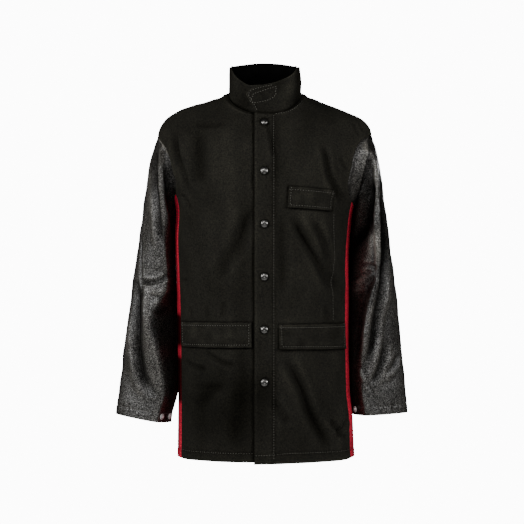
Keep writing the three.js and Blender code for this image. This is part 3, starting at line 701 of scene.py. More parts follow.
def wall(name, patches, thickness):
    """Closed wall of even thickness behind grids of points, normals, cloth coordinates and values of wear and
    painted shade.

    Coinciding points are shared. The inner faces take the second material."""
    points, normals, coords, wear = (
        np.concatenate([np.reshape(patch[k], (-1, size)) for patch in patches])
        for k, size in enumerate((3, 3, 2, 1))
    )
    quads, start = [], 0
    for patch in patches:
        rows, columns = patch[0].shape[:2]
        ids = start + np.arange(rows * columns).reshape(rows, columns)
        block = np.stack([ids[:-1, :-1], ids[:-1, 1:], ids[1:, 1:], ids[1:, :-1]], axis=-1).reshape(-1, 4)
        a, b, d = points[block[:, 0]], points[block[:, 1]], points[block[:, 3]]
        if (np.cross(b - a, d - a) * normals[block[:, 0]]).sum() < 0:
            block = block[:, ::-1]
        quads.append(block)
        start += rows * columns
    quads = np.concatenate(quads)
    keys = np.round(points * MERGE_STEPS).astype(np.int64)
    _, first, where = np.unique(keys, axis=0, return_index=True, return_inverse=True)
    points, normals, coords, wear = points[first], normals[first], coords[first], wear[first]
    quads = where.reshape(-1)[quads]
    count = len(points)
    edges = np.concatenate([quads[:, [k, (k + 1) % 4]] for k in range(4)])
    code = edges[:, 0] * count + edges[:, 1]
    rim = edges[~np.isin(code, edges[:, 1] * count + edges[:, 0])]
    rims = np.stack([rim[:, 1], rim[:, 0], rim[:, 0] + count, rim[:, 1] + count], axis=1)
    faces = np.concatenate([quads, rims, quads[:, ::-1] + count])
    vertices = np.concatenate([points, points - normals * thickness])
    piece = add_mesh(name, vertices, faces, np.concatenate([coords, coords]), np.concatenate([wear, wear]))
    inside = np.arange(len(piece.data.polygons)) >= len(quads) + len(rims)
    piece.data.polygons.foreach_set("material_index", inside.astype(np.int32))
    return piece


def add_mesh(name, vertices, faces, coords=None, wear=None):
    """Mesh object from millimetre points, smooth but for its sharp rims."""
    mesh = bpy.data.meshes.new(name)
    mesh.from_pydata((vertices * MM).tolist(), [], [list(dict.fromkeys(face)) for face in faces.tolist()])
    mesh.polygons.foreach_set("use_smooth", np.ones(len(mesh.polygons), dtype=bool))
    mesh.set_sharp_from_angle(angle=SHARP_RIM)
    if coords is not None:
        layer = mesh.uv_layers.new(name="cloth")
        loops = np.empty(len(mesh.loops), dtype=np.int32)
        mesh.loops.foreach_get("vertex_index", loops)
        layer.data.foreach_set("uv", (coords[loops] * MM).astype(np.float32).ravel())
    if wear is not None:
        # Each point's wear, with painted shade and highlights laid into the same value
        values = mesh.attributes.new("wear", "FLOAT", "POINT").data
        values.foreach_set("value", wear.astype(np.float32).ravel())
    mesh.validate()
    piece = bpy.data.objects.new(name, mesh)
    bpy.context.scene.collection.objects.link(piece)
    return piece


def finish_piece(piece, materials, slot, *nodes):
    for material in materials:
        piece.data.materials.append(material)
    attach(piece, "root")
    if nodes:
        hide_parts(*nodes)


def add_panel(scene, node, patches, thickness, finish="cotton"):
    """Wall that stands for a soft node, in its finish, with the node hidden."""
    kind = "leather" if finish == "leather" else "cloth"
    piece = wall(f"{node}_{kind}", patches, thickness)
    slot = PANEL_SLOTS[finish]
    finish_piece(piece, [finish_of(scene, finish), finish_of(scene, "lining")], slot, node)
    areas = np.empty(len(piece.data.polygons))
    piece.data.polygons.foreach_get("area", areas)


def add_stitches(name, rows, scene):
    """A run of thread stitches along each row of surface points."""
    sizes = scene.jacket_sizes
    length, half, high = sizes.stitch_length, THREAD_HALF, THREAD_HIGH
    frames = []
    for points, normals in rows:
        way = lengths(points)
        centres = np.arange(sizes.stitch_pitch / 2, way[-1], sizes.stitch_pitch)
        middle, up = (
            np.stack([np.interp(centres, way, column) for column in values.T], axis=1)
            for values in (points, normals)
        )
        frames.append((middle, up, np.gradient(middle, axis=0)))
    middle, up, ahead = (np.concatenate(part) for part in zip(*frames))
    up /= np.linalg.norm(up, axis=1)[:, None]
    ahead -= up * (ahead * up).sum(axis=1)[:, None]
    ahead /= np.linalg.norm(ahead, axis=1)[:, None]
    aside = np.cross(up, ahead)
    shape = [(-0.5, 0, -0.5)]
    shape += [(end, w, h) for end in (-0.28, 0.28) for w, h in ((1, 0), (0, 1), (-1, 0), (0, -1))]
    shape += [(0.5, 0, -0.5)]
    vertices = np.concatenate(
        [middle + ahead * (l * length) + aside * (w * half) + up * (h * high + 0.15) for l, w, h in shape]
    )
    count = len(middle)
    faces = []
    for k in range(4):
        n = (k + 1) % 4
        faces += [(0, 1 + n, 1 + k, 0), (9, 5 + k, 5 + n, 9), (1 + k, 1 + n, 5 + n, 5 + k)]
    faces = np.concatenate([np.array(faces) * count + i for i in range(count)])
    finish_piece(add_mesh(name, vertices, faces), [finish_of(scene, "thread")], "black_cotton")


# Materials


class Shading:
    """Node tree of one material, built call by call."""

    def __init__(self, name):
        self.material = bpy.data.materials.new(name)
        self.material.use_nodes = True
        self.tree = self.material.node_tree
        self.shader = self.tree.nodes["Principled BSDF"]
        coords = self.tree.nodes.new("ShaderNodeTexCoord")
        self.place, self.cloth = coords.outputs["Object"], coords.outputs["UV"]

    def add(self, kind, values, **settings):
        node = self.tree.nodes.new(kind)
        for key, value in settings.items():
            setattr(node, key, value)
        self.feed(node, values)
        return node

    def feed(self, node, values):
        for key, value in values.items():
            if isinstance(value, bpy.types.NodeSocket):
                self.tree.links.new(value, node.inputs[key])
            else:
                node.inputs[key].default_value = value

    def noise(self, where, scale, detail=3.0, rough=0.55):
        values = {"Vector": where, "Scale": scale, "Detail": detail, "Roughness": rough}
        return self.add("ShaderNodeTexNoise", values).outputs["Fac"]

    def ramp(self, value, *stops):
        node = self.add("ShaderNodeValToRGB", {"Fac": value})
        stops = [(at, (*c, 1) if len(c) == 3 else c) for at, c in stops]
        elements = node.color_ramp.elements
        while len(elements) < len(stops):
            elements.new(0.5)
        for element, (at, colour) in zip(elements, stops):
            element.position, element.color = at, colour
        return node.outputs["Color"]

    def times(self, first, second):
        values = {0: 1.0, 6: first, 7: second}
        return self.add("ShaderNodeMix", values, data_type="RGBA", blend_type="MULTIPLY").outputs[2]

    def ribs(self, where, scale, bent):
        """Fine slanting lines."""
        values = {"Vector": where, "Scale": scale, "Distortion": bent}
        return self.add("ShaderNodeTexWave", values, bands_direction="DIAGONAL").outputs["Fac"]

    def wear(self, dark, pale, plain=1.0):
        """Value from dark in the folds and other painted shade, through plain, to pale on rubbed edges and
        painted highlights.
        """
        fac = self.add("ShaderNodeAttribute", {}, attribute_name="wear").outputs["Fac"]
        share = self.add("ShaderNodeMapRange", {"Value": fac, "From Min": -1.0}).outputs["Result"]
        return self.ramp(share, (0.0, (dark,) * 3), (0.5, (plain,) * 3), (1.0, (pale,) * 3))

    def span(self, value, low, high):
        values = {"Value": value, "To Min": low, "To Max": high}
        return self.add("ShaderNodeMapRange", values).outputs["Result"]

    def bump(self, height, depth, below=None):
        values = {"Height": height, "Distance": depth, "Strength": 1.0}
        if below is not None:
            values["Normal"] = below
        return self.add("ShaderNodeBump", values).outputs["Normal"]


def shade(colour, factor):
    return tuple(min(1.0, part * factor) for part in colour)


def cotton_material(name, colour, dark=0.35):
    """Twill: fine diagonal ribs, faint blotches, pale rubbed edges, painted shade and highlights in its
    colour and gloss, and a dull surface.
    """
    s = Shading(name)
    blotch = s.noise(s.place, 26, 4)
    fleck = s.noise(s.place, 430, 3)
    twill = s.ribs(s.cloth, 390.0, 0.6)
    base = s.ramp(blotch, (0.3, shade(colour, 0.92)), (0.7, shade(colour, 1.08)))
    grain = s.ramp(fleck, (0.34, (0.35,) * 3), (0.66, (1.65,) * 3))
    rib = s.ramp(twill, (0.0, (0.8,) * 3), (1.0, (1.0,) * 3))
    # Colour darkened by painted shade, and lightened by rubbed edges and painted highlights
    base = s.times(s.times(s.times(base, grain), rib), s.wear(dark, 3.4))
    normal = s.bump(fleck, 0.0003, s.bump(twill, 0.00012))
    s.feed(s.shader, {"Base Color": base, "Roughness": s.span(blotch, 0.78, 0.92)})
    # Gloss dimmed in painted shade as well
    s.feed(s.shader, {"Normal": normal, "Specular IOR Level": s.wear(0.02, 0.28, 0.2)})
    return s.material


def leather_material(name, colour):
    """Grain leather: speckled grain, faint creases, a patchy half gloss, rubbed edges, and painted shade and
    highlights in its colour and gloss.
    """
    s = Shading(name)
    patch = s.noise(s.place, 14, 4)
    grit = s.noise(s.place, 520, 3, 0.65)
    crease = s.noise(s.place, 120, 4, 0.6)
    base = s.ramp(patch, (0.3, shade(colour, 0.75)), (0.72, shade(colour, 1.3)))
    grain = s.ramp(grit, (0.38, (0.1,) * 3), (0.5, (0.7,) * 3), (0.64, (3.0,) * 3))
    # Colour darkened by painted shade, and lightened by rubbed edges and painted highlights
    base = s.times(s.times(base, grain), s.wear(0.1, 8.0))
    gloss = s.ramp(grit, (0.39, (0.1,) * 3), (0.51, (0.5,) * 3), (0.64, (2.2,) * 3))
    # Gloss dimmed in painted shade and raised on painted highlights
    gloss = s.times(gloss, s.wear(0.06, 2.0))
    normal = s.bump(grit, 0.0007, s.bump(crease, 0.0008))
    s.feed(s.shader, {"Base Color": base, "Roughness": s.span(patch, 0.32, 0.5)})
    s.feed(s.shader, {"Normal": normal, "Specular IOR Level": gloss})
    return s.material


def inside_shade_material(name, colour):
    """Unlit inner side, painted near black as its shade: plain dark cloth."""
    s = Shading(name)
    blotch = s.noise(s.place, 40, 3)
    weave = s.noise(s.place, 800, 2)
    base = s.ramp(blotch, (0.3, shade(colour, 0.7)), (0.7, shade(colour, 1.3)))
    s.feed(s.shader, {"Base Color": base, "Roughness": 1.0, "Specular IOR Level": 0.0})
    s.feed(s.shader, {"Normal": s.bump(weave, 0.0002)})
    return s.material


def thread_material(name, colour):
    """Twisted thread with darker grooves."""
    s = Shading(name)
    twist = s.ribs(s.place, 900.0, 0.5)
    base = s.ramp(twist, (0.0, shade(colour, 0.6)), (1.0, shade(colour, 1.2)))
    s.feed(s.shader, {"Base Color": base, "Roughness": 0.7, "Normal": s.bump(twist, 0.0001)})
    return s.material


def metal_material(name, colour, dull, metallic=1.0):
    """Cast snap metal with rubbed high spots and tiny pits."""
    s = Shading(name)
    worn = s.noise(s.place, 240, 4)
    pits = s.noise(s.place, 1500, 3)
    base = s.ramp(worn, (0.3, shade(colour, 0.7)), (0.75, shade(colour, 1.25)))
    rough = s.span(pits, dull - 0.1, dull + 0.12)
    s.feed(s.shader, {"Base Color": base, "Metallic": metallic, "Roughness": rough})
    s.feed(s.shader, {"Normal": s.bump(pits, 0.000015)})
    return s.material


def floor_material(name):
    """Pale matt floor with faint clouds."""
    s = Shading(name)
    tone = s.noise(s.place, 3, 3)
    base = s.ramp(tone, (0.3, (0.80, 0.80, 0.80)), (0.7, (0.84, 0.84, 0.83)))
    s.feed(s.shader, {"Base Color": base, "Roughness": 0.8})
    return s.material


# Finishes by the name of their colour: material, how it is made and its own values
FINISHES = {
    "cotton": ("black twill", cotton_material),
    "red": ("red twill", cotton_material, 0.03),
    "leather": ("black grain leather", leather_material),
    # Inner faces painted near black, as painted shade
    "lining": ("black lining", inside_shade_material),
    "thread": ("black thread", thread_material),
    "gunmetal": ("polished gunmetal", metal_material, 0.31),
    # Painted shade on the snaps' rims and in the cuff snaps' channel
    "rim": ("blackened rim", metal_material, 0.5),
    "nickel": ("bright nickel", metal_material, 0.35, 0.15),
}


def finish_of(scene, colour):
    """Material of one finish, made when it is first asked for."""
    name, make, *values = FINISHES[colour]
    return bpy.data.materials.get(name) or make(name, tuple(getattr(scene.jacket_colours, colour)), *values)


# Sleeves


RING_SHARE = np.arange(1, len(SLEEVE_RINGS) + 1) / len(SLEEVE_RINGS)
RINGS = [curve_through(RING_SHARE, [row[k] for row in SLEEVE_RINGS]) for k in range(8)]


def ridge_reach(share, ridge):
    """Reach to the front across the sleeve's width: two faces that meet in a soft ridge."""
    u = np.where(share < ridge, 0.5 * share / ridge, 1 - 0.5 * (1 - share) / (1 - ridge))
    rounded = np.sqrt(np.clip(np.sin(np.pi * u), 0, None))
    peaked = 1 - np.sqrt((2 * u - 1) ** 2 + RIDGE_SOFTNESS)
    return mix(rounded, np.clip(peaked, 0, None) / (1 - math.sqrt(RIDGE_SOFTNESS)), RIDGE)


def sleeve_base(name, turn, along):
    """Plain sleeve surface on the wearer's left: rings that fan out from the armhole."""
    held = np.maximum(along, RING_SHARE[0])
    out_x, out_z, in_z, in_y, front, back, right, left = (ring(held) for ring in RINGS)
    swing, open_, out_rise, in_rise = CUFFS[name]
    side = 1 if name == "left" else -1

    def beside_body(y, level):
        return np.abs(body_point(side * angle_at_y(y, level), level)[..., 0]) + SLEEVE_CLEARANCE

    in_x = beside_body(in_y, in_z) + open_ * smooth((held - CUFF_OPEN_START) / (1 - CUFF_OPEN_START))
    c, s = np.cos(2 * np.pi * turn), np.sin(2 * np.pi * turn)
    share = (1 + c) / 2
    bulge = ridge_reach(share, right if name == "right" else left)
    ring = np.stack(
        [
            mix(in_x, out_x + swing * held**2, share),
            np.where(s > 0, -bulge * front, -s * back) + in_y * (1 - share) ** 2,
            mix(in_z + in_rise * held**3, out_z + out_rise * held**3, share),
        ],
        axis=-1,
    )
    middle, height = armhole_of(side)[:2]
    below = ring[..., 2] < middle - height
    clear = np.maximum(ring[..., 0], beside_body(ring[..., 1], ring[..., 2]))
    ring[..., 0] = np.where(below, clear, ring[..., 0])
    place = armhole_edge(side, 2 * np.pi * turn, SLEEVE_TUCK)
    seam = body_point(place[..., 0], place[..., 1])
    seam = seam - body_normal(seam) * SLEEVE_DEPTH
    return mix(seam, ring, np.clip(along / RING_SHARE[0], 0, 1)[..., None])


def sleeve_folds(name, point):
    """Height of the main folds over the plain sleeve."""
    x, y, z = point.T
    front = y < 0
    fade = smooth(np.abs(y) / 26)
    lift = np.zeros(len(x))
    lift[front] = fade[front] * fold_lift(SLEEVE_FOLDS[name], x[front], z[front])
    lift[~front] = fade[~front] * fold_lift(SLEEVE_BACK_FOLDS, np.abs(x[~front]), z[~front])
    return lift


def sleeve_wear_and_shade(name, turn, along):
    """Wear and painted light on the leather: up to 1 where edges are rubbed pale and where crests, the welt
    and places inside the left arm carry painted highlights, down to -1 for painted shade in folds, on the
    inner faces, along the outer side and by the head seam.
    """
    turn, along = np.broadcast_arrays(turn, along)
    point = sleeve_base(name, turn.ravel(), along.ravel()) * (1 if name == "left" else -1, 1, 1)
    # Painted shade in the folds' troughs and a painted highlight on their crests
    wear = np.clip(sleeve_folds(name, point) * 0.11, -0.9, 0.12).reshape(turn.shape)
    # Pale cuff edge, rubbed and with a painted highlight
    wear += 0.12 * bell((1 - along) * SLEEVE_LENGTH, 2.5)
    share, ahead = (1 + np.cos(2 * np.pi * turn)) / 2, np.sin(2 * np.pi * turn) > 0
    ridge = RINGS[6 if name == "right" else 7](np.maximum(along, RING_SHARE[0]))
    ridge = ridge - (0.05 * smooth((0.65 - along) / 0.2) if name == "left" else 0)
    # Painted shade along the sleeve's outer side
    wear -= 0.7 * smooth((share - 0.95) / 0.05)
    # Painted shade on the front's inner faces from the ridge to the body, a painted highlight along the
    # ridge, and painted shade on the back near the body
    inner = smooth((ridge + 0.15 * (1 - smooth(along / 0.12)) - share) / 0.1)
    crest_highlight = 0.1 * bell(share - ridge - 0.05, 0.06)
    wear += np.where(ahead, crest_highlight - 0.65 * inner, -0.5 * smooth(1 - share / 0.3))
    if name == "right":
        # Painted light on the right sleeve's outer face
        wear += np.where(ahead, 0.03 * smooth((share - ridge - 0.1) / 0.1), 0)
    if name == "left":
        x, _, z = point.T
        seam_x, seam_z = np.transpose(GUSSET_SEAM)
        # Painted light on the piece let in at the head and on listed places inside the arm
        gusset = smooth((np.interp(-z, -seam_z, seam_x) - x) / 4) * smooth((z + 235) / 14)
        painted_light = (0.8 * gusset + fold_lift(ARM_PAINTED_LIGHT, x, z)).reshape(turn.shape)
        # Painted shade along the head seam, under the cloth's edge
        wear += np.where(ahead, painted_light - 0.7 * bell(along * SLEEVE_LENGTH, 12), 0)
        # Painted shade on the upper outer face
        wear -= np.where(ahead, 0.5 * smooth((share - ridge - 0.06) / 0.1) * smooth((0.62 - along) / 0.2), 0)
    # Painted highlight on the welt at the sleeve's head: in one spot on the right, all round on the left
    top = bell(turn - 0.12, 0.1) if name == "right" else 0.15
    return np.clip(wear + top * bell(along * SLEEVE_LENGTH - 5, 2.5), -1, 0.8)


def sleeve_skin(name, turn, along):
    """Finished surface points of a sleeve and the plain normals under them."""
    side = 1 if name == "left" else -1
    turn, along = (np.asarray(v, float) for v in np.broadcast_arrays(turn, along))
    shape = turn.shape
    turn, along = turn.ravel(), along.ravel()
    step = 0.003
    low = np.minimum(along, 1 - step)
    point = sleeve_base(name, turn, along)
    across = sleeve_base(name, turn + step, along) - sleeve_base(name, turn - step, along)
    down = sleeve_base(name, turn, low + step) - sleeve_base(name, turn, low)
    normal = np.cross(across, down)
    normal /= np.linalg.norm(normal, axis=1)[:, None] + 1e-12
    inward = (normal * (point - sleeve_base(name, turn + 0.5, along))).sum(axis=1) < 0
    normal[inward] *= -1
    point[:, 0] *= side
    normal[:, 0] *= side
    lift = sleeve_folds(name, point)
    cuff, head = (1 - along) * SLEEVE_LENGTH, along * SLEEVE_LENGTH
    seed = 20 + side
    near_body = 1 - smooth((1 + np.cos(2 * np.pi * turn)) / 0.24)
    swell = waves(point, SLEEVE_WAVES, seed) + waves(point, SLEEVE_RIPPLES, seed)
    lift += (1 - near_body) * smooth(head / 60) * swell
    lift += 0.5 * near_body * smooth(head / 30)
    lift += ARMPIT_FULLNESS * bell(turn - 0.6, 0.05) * bell(along - 0.23, 0.13)
    lift += 0.5 * (1 - smooth((cuff - CUFF_SEAM + 3) / 3)) - 0.7 * bell(cuff - CUFF_SEAM, 2.4)
    lift += waves(turn[:, None] * CUFF_GIRTH, CUFF_PUCKER, seed) * bell(cuff - CUFF_SEAM, 10)
    lift += 1.5 * bell(head - 5, 3)
    lift += waves(turn[:, None] * HEAD_GIRTH, HEAD_PUCKER, seed) * bell(head - 14, 14)
    point = point + normal * lift[:, None]
    return point.reshape(*shape, 3), normal.reshape(*shape, 3)


# Collar


def collar_waves(share, rise):
    """Unit waves of the collar band, mostly upright."""
    long, high, pitch, seed = COLLAR_WAVES
    place = np.stack([share.ravel() * long, rise.ravel() * high], axis=1)
    return ripple(place, pitch, seed).reshape(share.shape)


def collar_skin(share, rise):
    """Surface of the stand collar, from its right end round the neck to its lapping left end."""
    share, rise = (np.asarray(v, float) for v in np.broadcast_arrays(share, rise))
    past = rise - TAB_POINT
    corner = TAB_CORNER * (np.maximum(past, 0) / (1 - TAB_POINT)) ** 1.6
    back = np.where(past < 0, TAB_SLANT * -past / TAB_POINT, corner)
    turn = UNDERLAP_TURN - (UNDERLAP_TURN + 2 * np.pi + OVERLAP_TURN) * share + back * share**8
    turn = np.mod(turn + np.pi, 2 * np.pi) - np.pi
    front = np.abs(turn) <= np.pi / 2
    edge = np.where(
        front[..., None],
        neck_edge(True, np.where(front, turn, 0)),
        neck_edge(False, np.where(front, 0, np.pi - np.abs(turn))),
    )
    angle = np.where(front, edge[..., 0], np.sign(turn) * edge[..., 0])
    foot = body_point(angle, edge[..., 1])
    away = np.stack([foot[..., 0] / NECK_HALF, foot[..., 1] / float(front_at(NECK_FRONT)), 0 * turn], axis=-1)
    away /= np.linalg.norm(away, axis=-1, keepdims=True)
    ahead = np.cos(turn)
    front_top = curve_through(*zip(*COLLAR_FRONT))(np.sin(turn))
    top = np.where(ahead > 0, front_top, mix(COLLAR_SIDE, COLLAR_BACK, np.abs(ahead) ** COLLAR_BLUNT))
    near_side = np.where(ahead > 0, smooth(1 + foot[..., 1] / 38), smooth(1 - np.abs(ahead) / 0.2))
    top = top + COLLAR_EASE * near_side
    lapping = (share > 0.5) & (turn < TAB_START) & front
    top = top - np.where(lapping, TAB_DROP * smooth((TAB_START - turn) / TAB_RUN), 0)
    behind = smooth((share - 0.2) / 0.1) * smooth((0.62 - share) / 0.06)
    level = mix(foot[..., 2] + COLLAR_SEAM - COLLAR_TUCK * behind, top, rise)
    tall = top - foot[..., 2]
    lift = COLLAR_SPIRAL * (smooth(2 * share - 1) - 0.5) - COLLAR_TAPER * rise
    lift += 1.1 * collar_waves(share, rise) * smooth(rise * 2)
    lift += 0.9 * bell(rise * tall - 3, 3)
    lift -= 0.8 * bell((1 - rise) * tall, 1.6)
    lift += 4 * smooth((-np.sin(turn) - 0.5) / 0.4) * np.sqrt(rise)
    point = foot + away * lift[..., None]
    point[..., 1] -= COLLAR_LEAN * rise
    point[..., 2] = level
    return point, away


# Flaps


def flap_size(name):
    """Width and height of a flap seen from the front."""
    x0, x1, top0, _, low0, _ = FLAPS[name]
    return abs(x1 - x0), abs(low0 - top0)


def flap_skin(name, across, fall):
    """Outer surface of a pocket flap: sewn along the top, standing off below."""
    x0, x1, top0, top1, low0, low1 = FLAPS[name]
    across, fall = (np.asarray(v, float) for v in np.broadcast_arrays(across, fall))
    shape = across.shape
    across, fall = across.ravel(), fall.ravel()
    level = mix(mix(top0, top1, across), mix(low0, low1, across), fall)
    corners = ((x0, (top0 + low0) / 2), (x1, (top1 + low1) / 2))
    places, _ = spread(*(np.array([[float(angle_at_x(x, z)), z]]) for x, z in corners), 200)
    angle = np.interp(across, np.linspace(0, 1, 201), places[0, :, 0])
    base = body_point(angle, level)
    normal = body_normal(base)
    wide, tall = flap_size(name)
    edge = np.minimum(np.minimum(across, 1 - across) * wide * FLAP_FULLNESS, (1 - fall) * tall)
    head = fall * tall
    outer = across if x0 > 0 else 1 - across
    stand = FLAP_STAND + FLAP_FOOT * fall**2
    if name.endswith("hip_flap"):
        stand = stand - FLAP_END * fall**2 * smooth((outer - 0.6) / 0.4)
    lift = stand + body_lift("left_front" if x0 > 0 else "right_front", base)
    seed = 60 + len(name)
    lift += fall * waves(base, FLAP_WAVES, seed) + waves(base, FLAP_RIPPLES, seed)
    lift -= 0.45 * bell(edge - FLAP_SEAM, 1.5) + 0.8 * bell(edge, 1.4)
    lift -= 0.45 * bell(head - FLAP_TOP_SEAM, 1.5) + 1.4 * bell(head, 2)
    point = base + normal * lift[:, None]
    return point.reshape(*shape, 3), normal.reshape(*shape, 3)


# Settings


class JacketSizes(bpy.types.PropertyGroup):
    grid: FloatProperty(
        name="Grid step", description="Spacing of the cloth mesh in millimetres",
        default=2.8, min=1.5, max=12,
    )
    cloth: FloatProperty(
        name="Cloth", description="Thickness of the cotton wall in millimetres",
        default=1.5, min=0.5, max=3,
    )
    hide: FloatProperty(
        name="Leather", description="Thickness of the leather wall in millimetres",
        default=1.7, min=0.5, max=3,
    )
    collar: FloatProperty(
        name="Collar", description="Thickness of the collar wall in millimetres",
        default=2.8, min=1, max=5,
    )
    flap: FloatProperty(
        name="Flap", description="Thickness of a pocket flap in millimetres",
        default=2.0, min=1, max=4,
    )
    stitch_pitch: FloatProperty(
        name="Stitch pitch", description="Length of one stitch and its gap in millimetres",
        default=5.4, min=1, max=8,
    )
    stitch_length: FloatProperty(
        name="Stitch length", description="Length of the thread seen in millimetres",
        default=3.1, min=1, max=6,
    )
    snap_radius: FloatProperty(
        name="Front snap radius", description="Radius of a front snap cap in millimetres",
        default=8.0, min=4, max=12,
    )
    cuff_snap_radius: FloatProperty(
        name="Cuff snap radius", description="Radius of a cuff snap in millimetres",
        default=6.2, min=3, max=10,
    )
    snap_sides: IntProperty(
        name="Snap sides", description="Steps round a snap",
        default=40, min=12, max=96,
    )


class JacketColours(bpy.types.PropertyGroup):
    cotton: FloatVectorProperty(
        name="Cotton", description="Black twill",
        subtype="COLOR", default=(0.0152, 0.0141, 0.0099),
    )
    red: FloatVectorProperty(
        name="Red cotton", description="Red side panels",
        subtype="COLOR", default=(0.50, 0.013, 0.037),
    )
    leather: FloatVectorProperty(
        name="Leather", description="Black grain leather",
        subtype="COLOR", default=(0.032, 0.030, 0.0262),
    )
    # Near black: painted shade of the inner side
    lining: FloatVectorProperty(
        name="Lining", description="Inner side",
        subtype="COLOR", default=(0.0034, 0.0034, 0.0032),
    )
    thread: FloatVectorProperty(
        name="Thread", description="Stitching thread",
        subtype="COLOR", default=(0.20, 0.19, 0.165),
    )
    gunmetal: FloatVectorProperty(
        name="Front snaps", description="Dark snap caps",
        subtype="COLOR", default=(0.2, 0.195, 0.186),
    )
    # Near black: painted shade on the snaps' rims and channels
    rim: FloatVectorProperty(
        name="Snap rims", description="Blackened rims and channels of the snaps",
        subtype="COLOR", default=(0.04, 0.039, 0.0372),
    )
    nickel: FloatVectorProperty(
        name="Cuff snaps", description="Bright snaps",
        subtype="COLOR", default=(1.0, 0.96, 0.95),
    )


class StageSettings(bpy.types.PropertyGroup):
    distance: FloatProperty(
        name="Camera distance", description="From the jacket's middle",
        default=3.3, unit="LENGTH",
    )
    lens: FloatProperty(
        name="Lens", description="Focal length in millimetres",
        default=107.96, min=20, max=300,
    )
    height: FloatProperty(
        name="Camera height", description="Over the neck point",
        default=-0.3486, unit="LENGTH",
    )
    aside: FloatProperty(
        name="Camera aside", description="To the right of the centre",
        default=-0.0058, unit="LENGTH",
    )
    floor: FloatProperty(
        name="Floor", description="Height of the floor",
        default=-1.45, unit="LENGTH",
    )
    left: FloatProperty(
        name="Left light", description="Power of the light on the left",
        default=25, unit="POWER",
    )
    right: FloatProperty(
        name="Right light", description="Power of the light on the right",
        default=17, unit="POWER",
    )
    top: FloatProperty(
        name="Top light", description="Power of the light above",
        default=12, unit="POWER",
    )
    low: FloatProperty(
        name="Low light", description="Power of the weak light from below",
        default=3, unit="POWER",
    )
    back: FloatProperty(
        name="Back light", description="Power of the light behind",
        default=45, unit="POWER",
    )
    fill: FloatProperty(
        name="Fill light", description="Power of the weak light in front",
        default=4, unit="POWER",
    )


# Operators


class JACKET_OT_fronts(bpy.types.Operator):
    """Two front panels, the left one lapping over the right"""

    bl_idname = "jacket.fronts"
    bl_label = "Front panels"

    def execute(self, context):
        sizes = context.scene.jacket_sizes
        for node, side, centre in (("left_front", 1, LAP_EDGE), ("right_front", -1, -UNDERLAP_EDGE)):
            grid = panel_grid(node, side, True, centre, sizes.grid)
            add_panel(context.scene, node, [grid], sizes.cloth)
        return {"FINISHED"}


class JACKET_OT_back(bpy.types.Operator):
    """Back panel in one piece"""

    bl_idname = "jacket.back"
    bl_label = "Back panel"

    def execute(self, context):
        sizes = context.scene.jacket_sizes
        halves = [panel_grid("back", side, False, 0, sizes.grid * BACK_COARSENESS) for side in (1, -1)]
        add_panel(context.scene, "back", halves, sizes.cloth)
        return {"FINISHED"}


class JACKET_OT_sides(bpy.types.Operator):
    """Red side panels under the arms"""

    bl_idname = "jacket.sides"
    bl_label = "Side panels"

    def execute(self, context):
        sizes = context.scene.jacket_sizes
        y = np.linspace(-1, 1, SIDE_COLUMNS) * (SIDE_SEAM - SEAM_GAP)
        rows = np.linspace(0, 1, round(SIDE_LENGTH / sizes.grid) + 1)[:, None]
        for node, side in (("left_side", 1), ("right_side", -1)):
            top = armhole_edge(side, armhole_turn(side, y), SEAM_GAP)[:, 1]
            level = mix(HEM, top[None], rows)
            depth = y[None] + 0 * level
            angle = angle_at_y(depth, level) * side
            coords = np.stack([depth, level], axis=-1)
            grid = (*body_skin(node, angle, level), coords, body_wear_and_shade(node, angle, level))
            add_panel(context.scene, node, [grid], sizes.cloth, "red")
        return {"FINISHED"}


class JACKET_OT_sleeves(bpy.types.Operator):
    """Leather sleeves with turned cuffs"""

    bl_idname = "jacket.sleeves"
    bl_label = "Sleeves"

    def execute(self, context):
        sizes = context.scene.jacket_sizes
        turns, rows = round(SLEEVE_GIRTH / sizes.grid), round(SLEEVE_LENGTH / sizes.grid)
        turn = np.arange(turns + 1) % turns / turns
        along = np.linspace(0, 1, rows + 1)
        coords = np.stack(np.meshgrid(turn * SLEEVE_GIRTH, along * SLEEVE_LENGTH), axis=-1)
        for name in ("left", "right"):
            places = name, turn[None], along[:, None]
            grid = (*sleeve_skin(*places), coords, sleeve_wear_and_shade(*places))
            add_panel(context.scene, f"{name}_sleeve", [grid], sizes.hide, "leather")
        return {"FINISHED"}


class JACKET_OT_collar(bpy.types.Operator):
    """Stand collar with its lapping tab"""

    bl_idname = "jacket.collar"
    bl_label = "Collar"

    def execute(self, context):
        sizes = context.scene.jacket_sizes
        share, rise = np.meshgrid(np.linspace(0, 1, COLLAR_COLUMNS), np.linspace(0, 1, COLLAR_ROWS))
        coords = np.stack([share * COLLAR_LENGTH, rise * COLLAR_HEIGHT], axis=-1)
        # Pale top and tab edges, rubbed and with painted highlights
        wear = 0.5 * bell((1 - rise) * COLLAR_HEIGHT, 2.0) + 0.8 * bell((1 - share) * COLLAR_LENGTH, 2.0)
        # Painted shade following the collar's waves and at its foot, and the whole collar darker
        wear += 0.22 * collar_waves(share, rise) - 0.6 * bell(rise * 50, 3) - 0.38
        grid = (*collar_skin(share, rise), coords, np.clip(wear, -1, 1))
        add_panel(context.scene, "collar", [grid], sizes.collar)
        return {"FINISHED"}


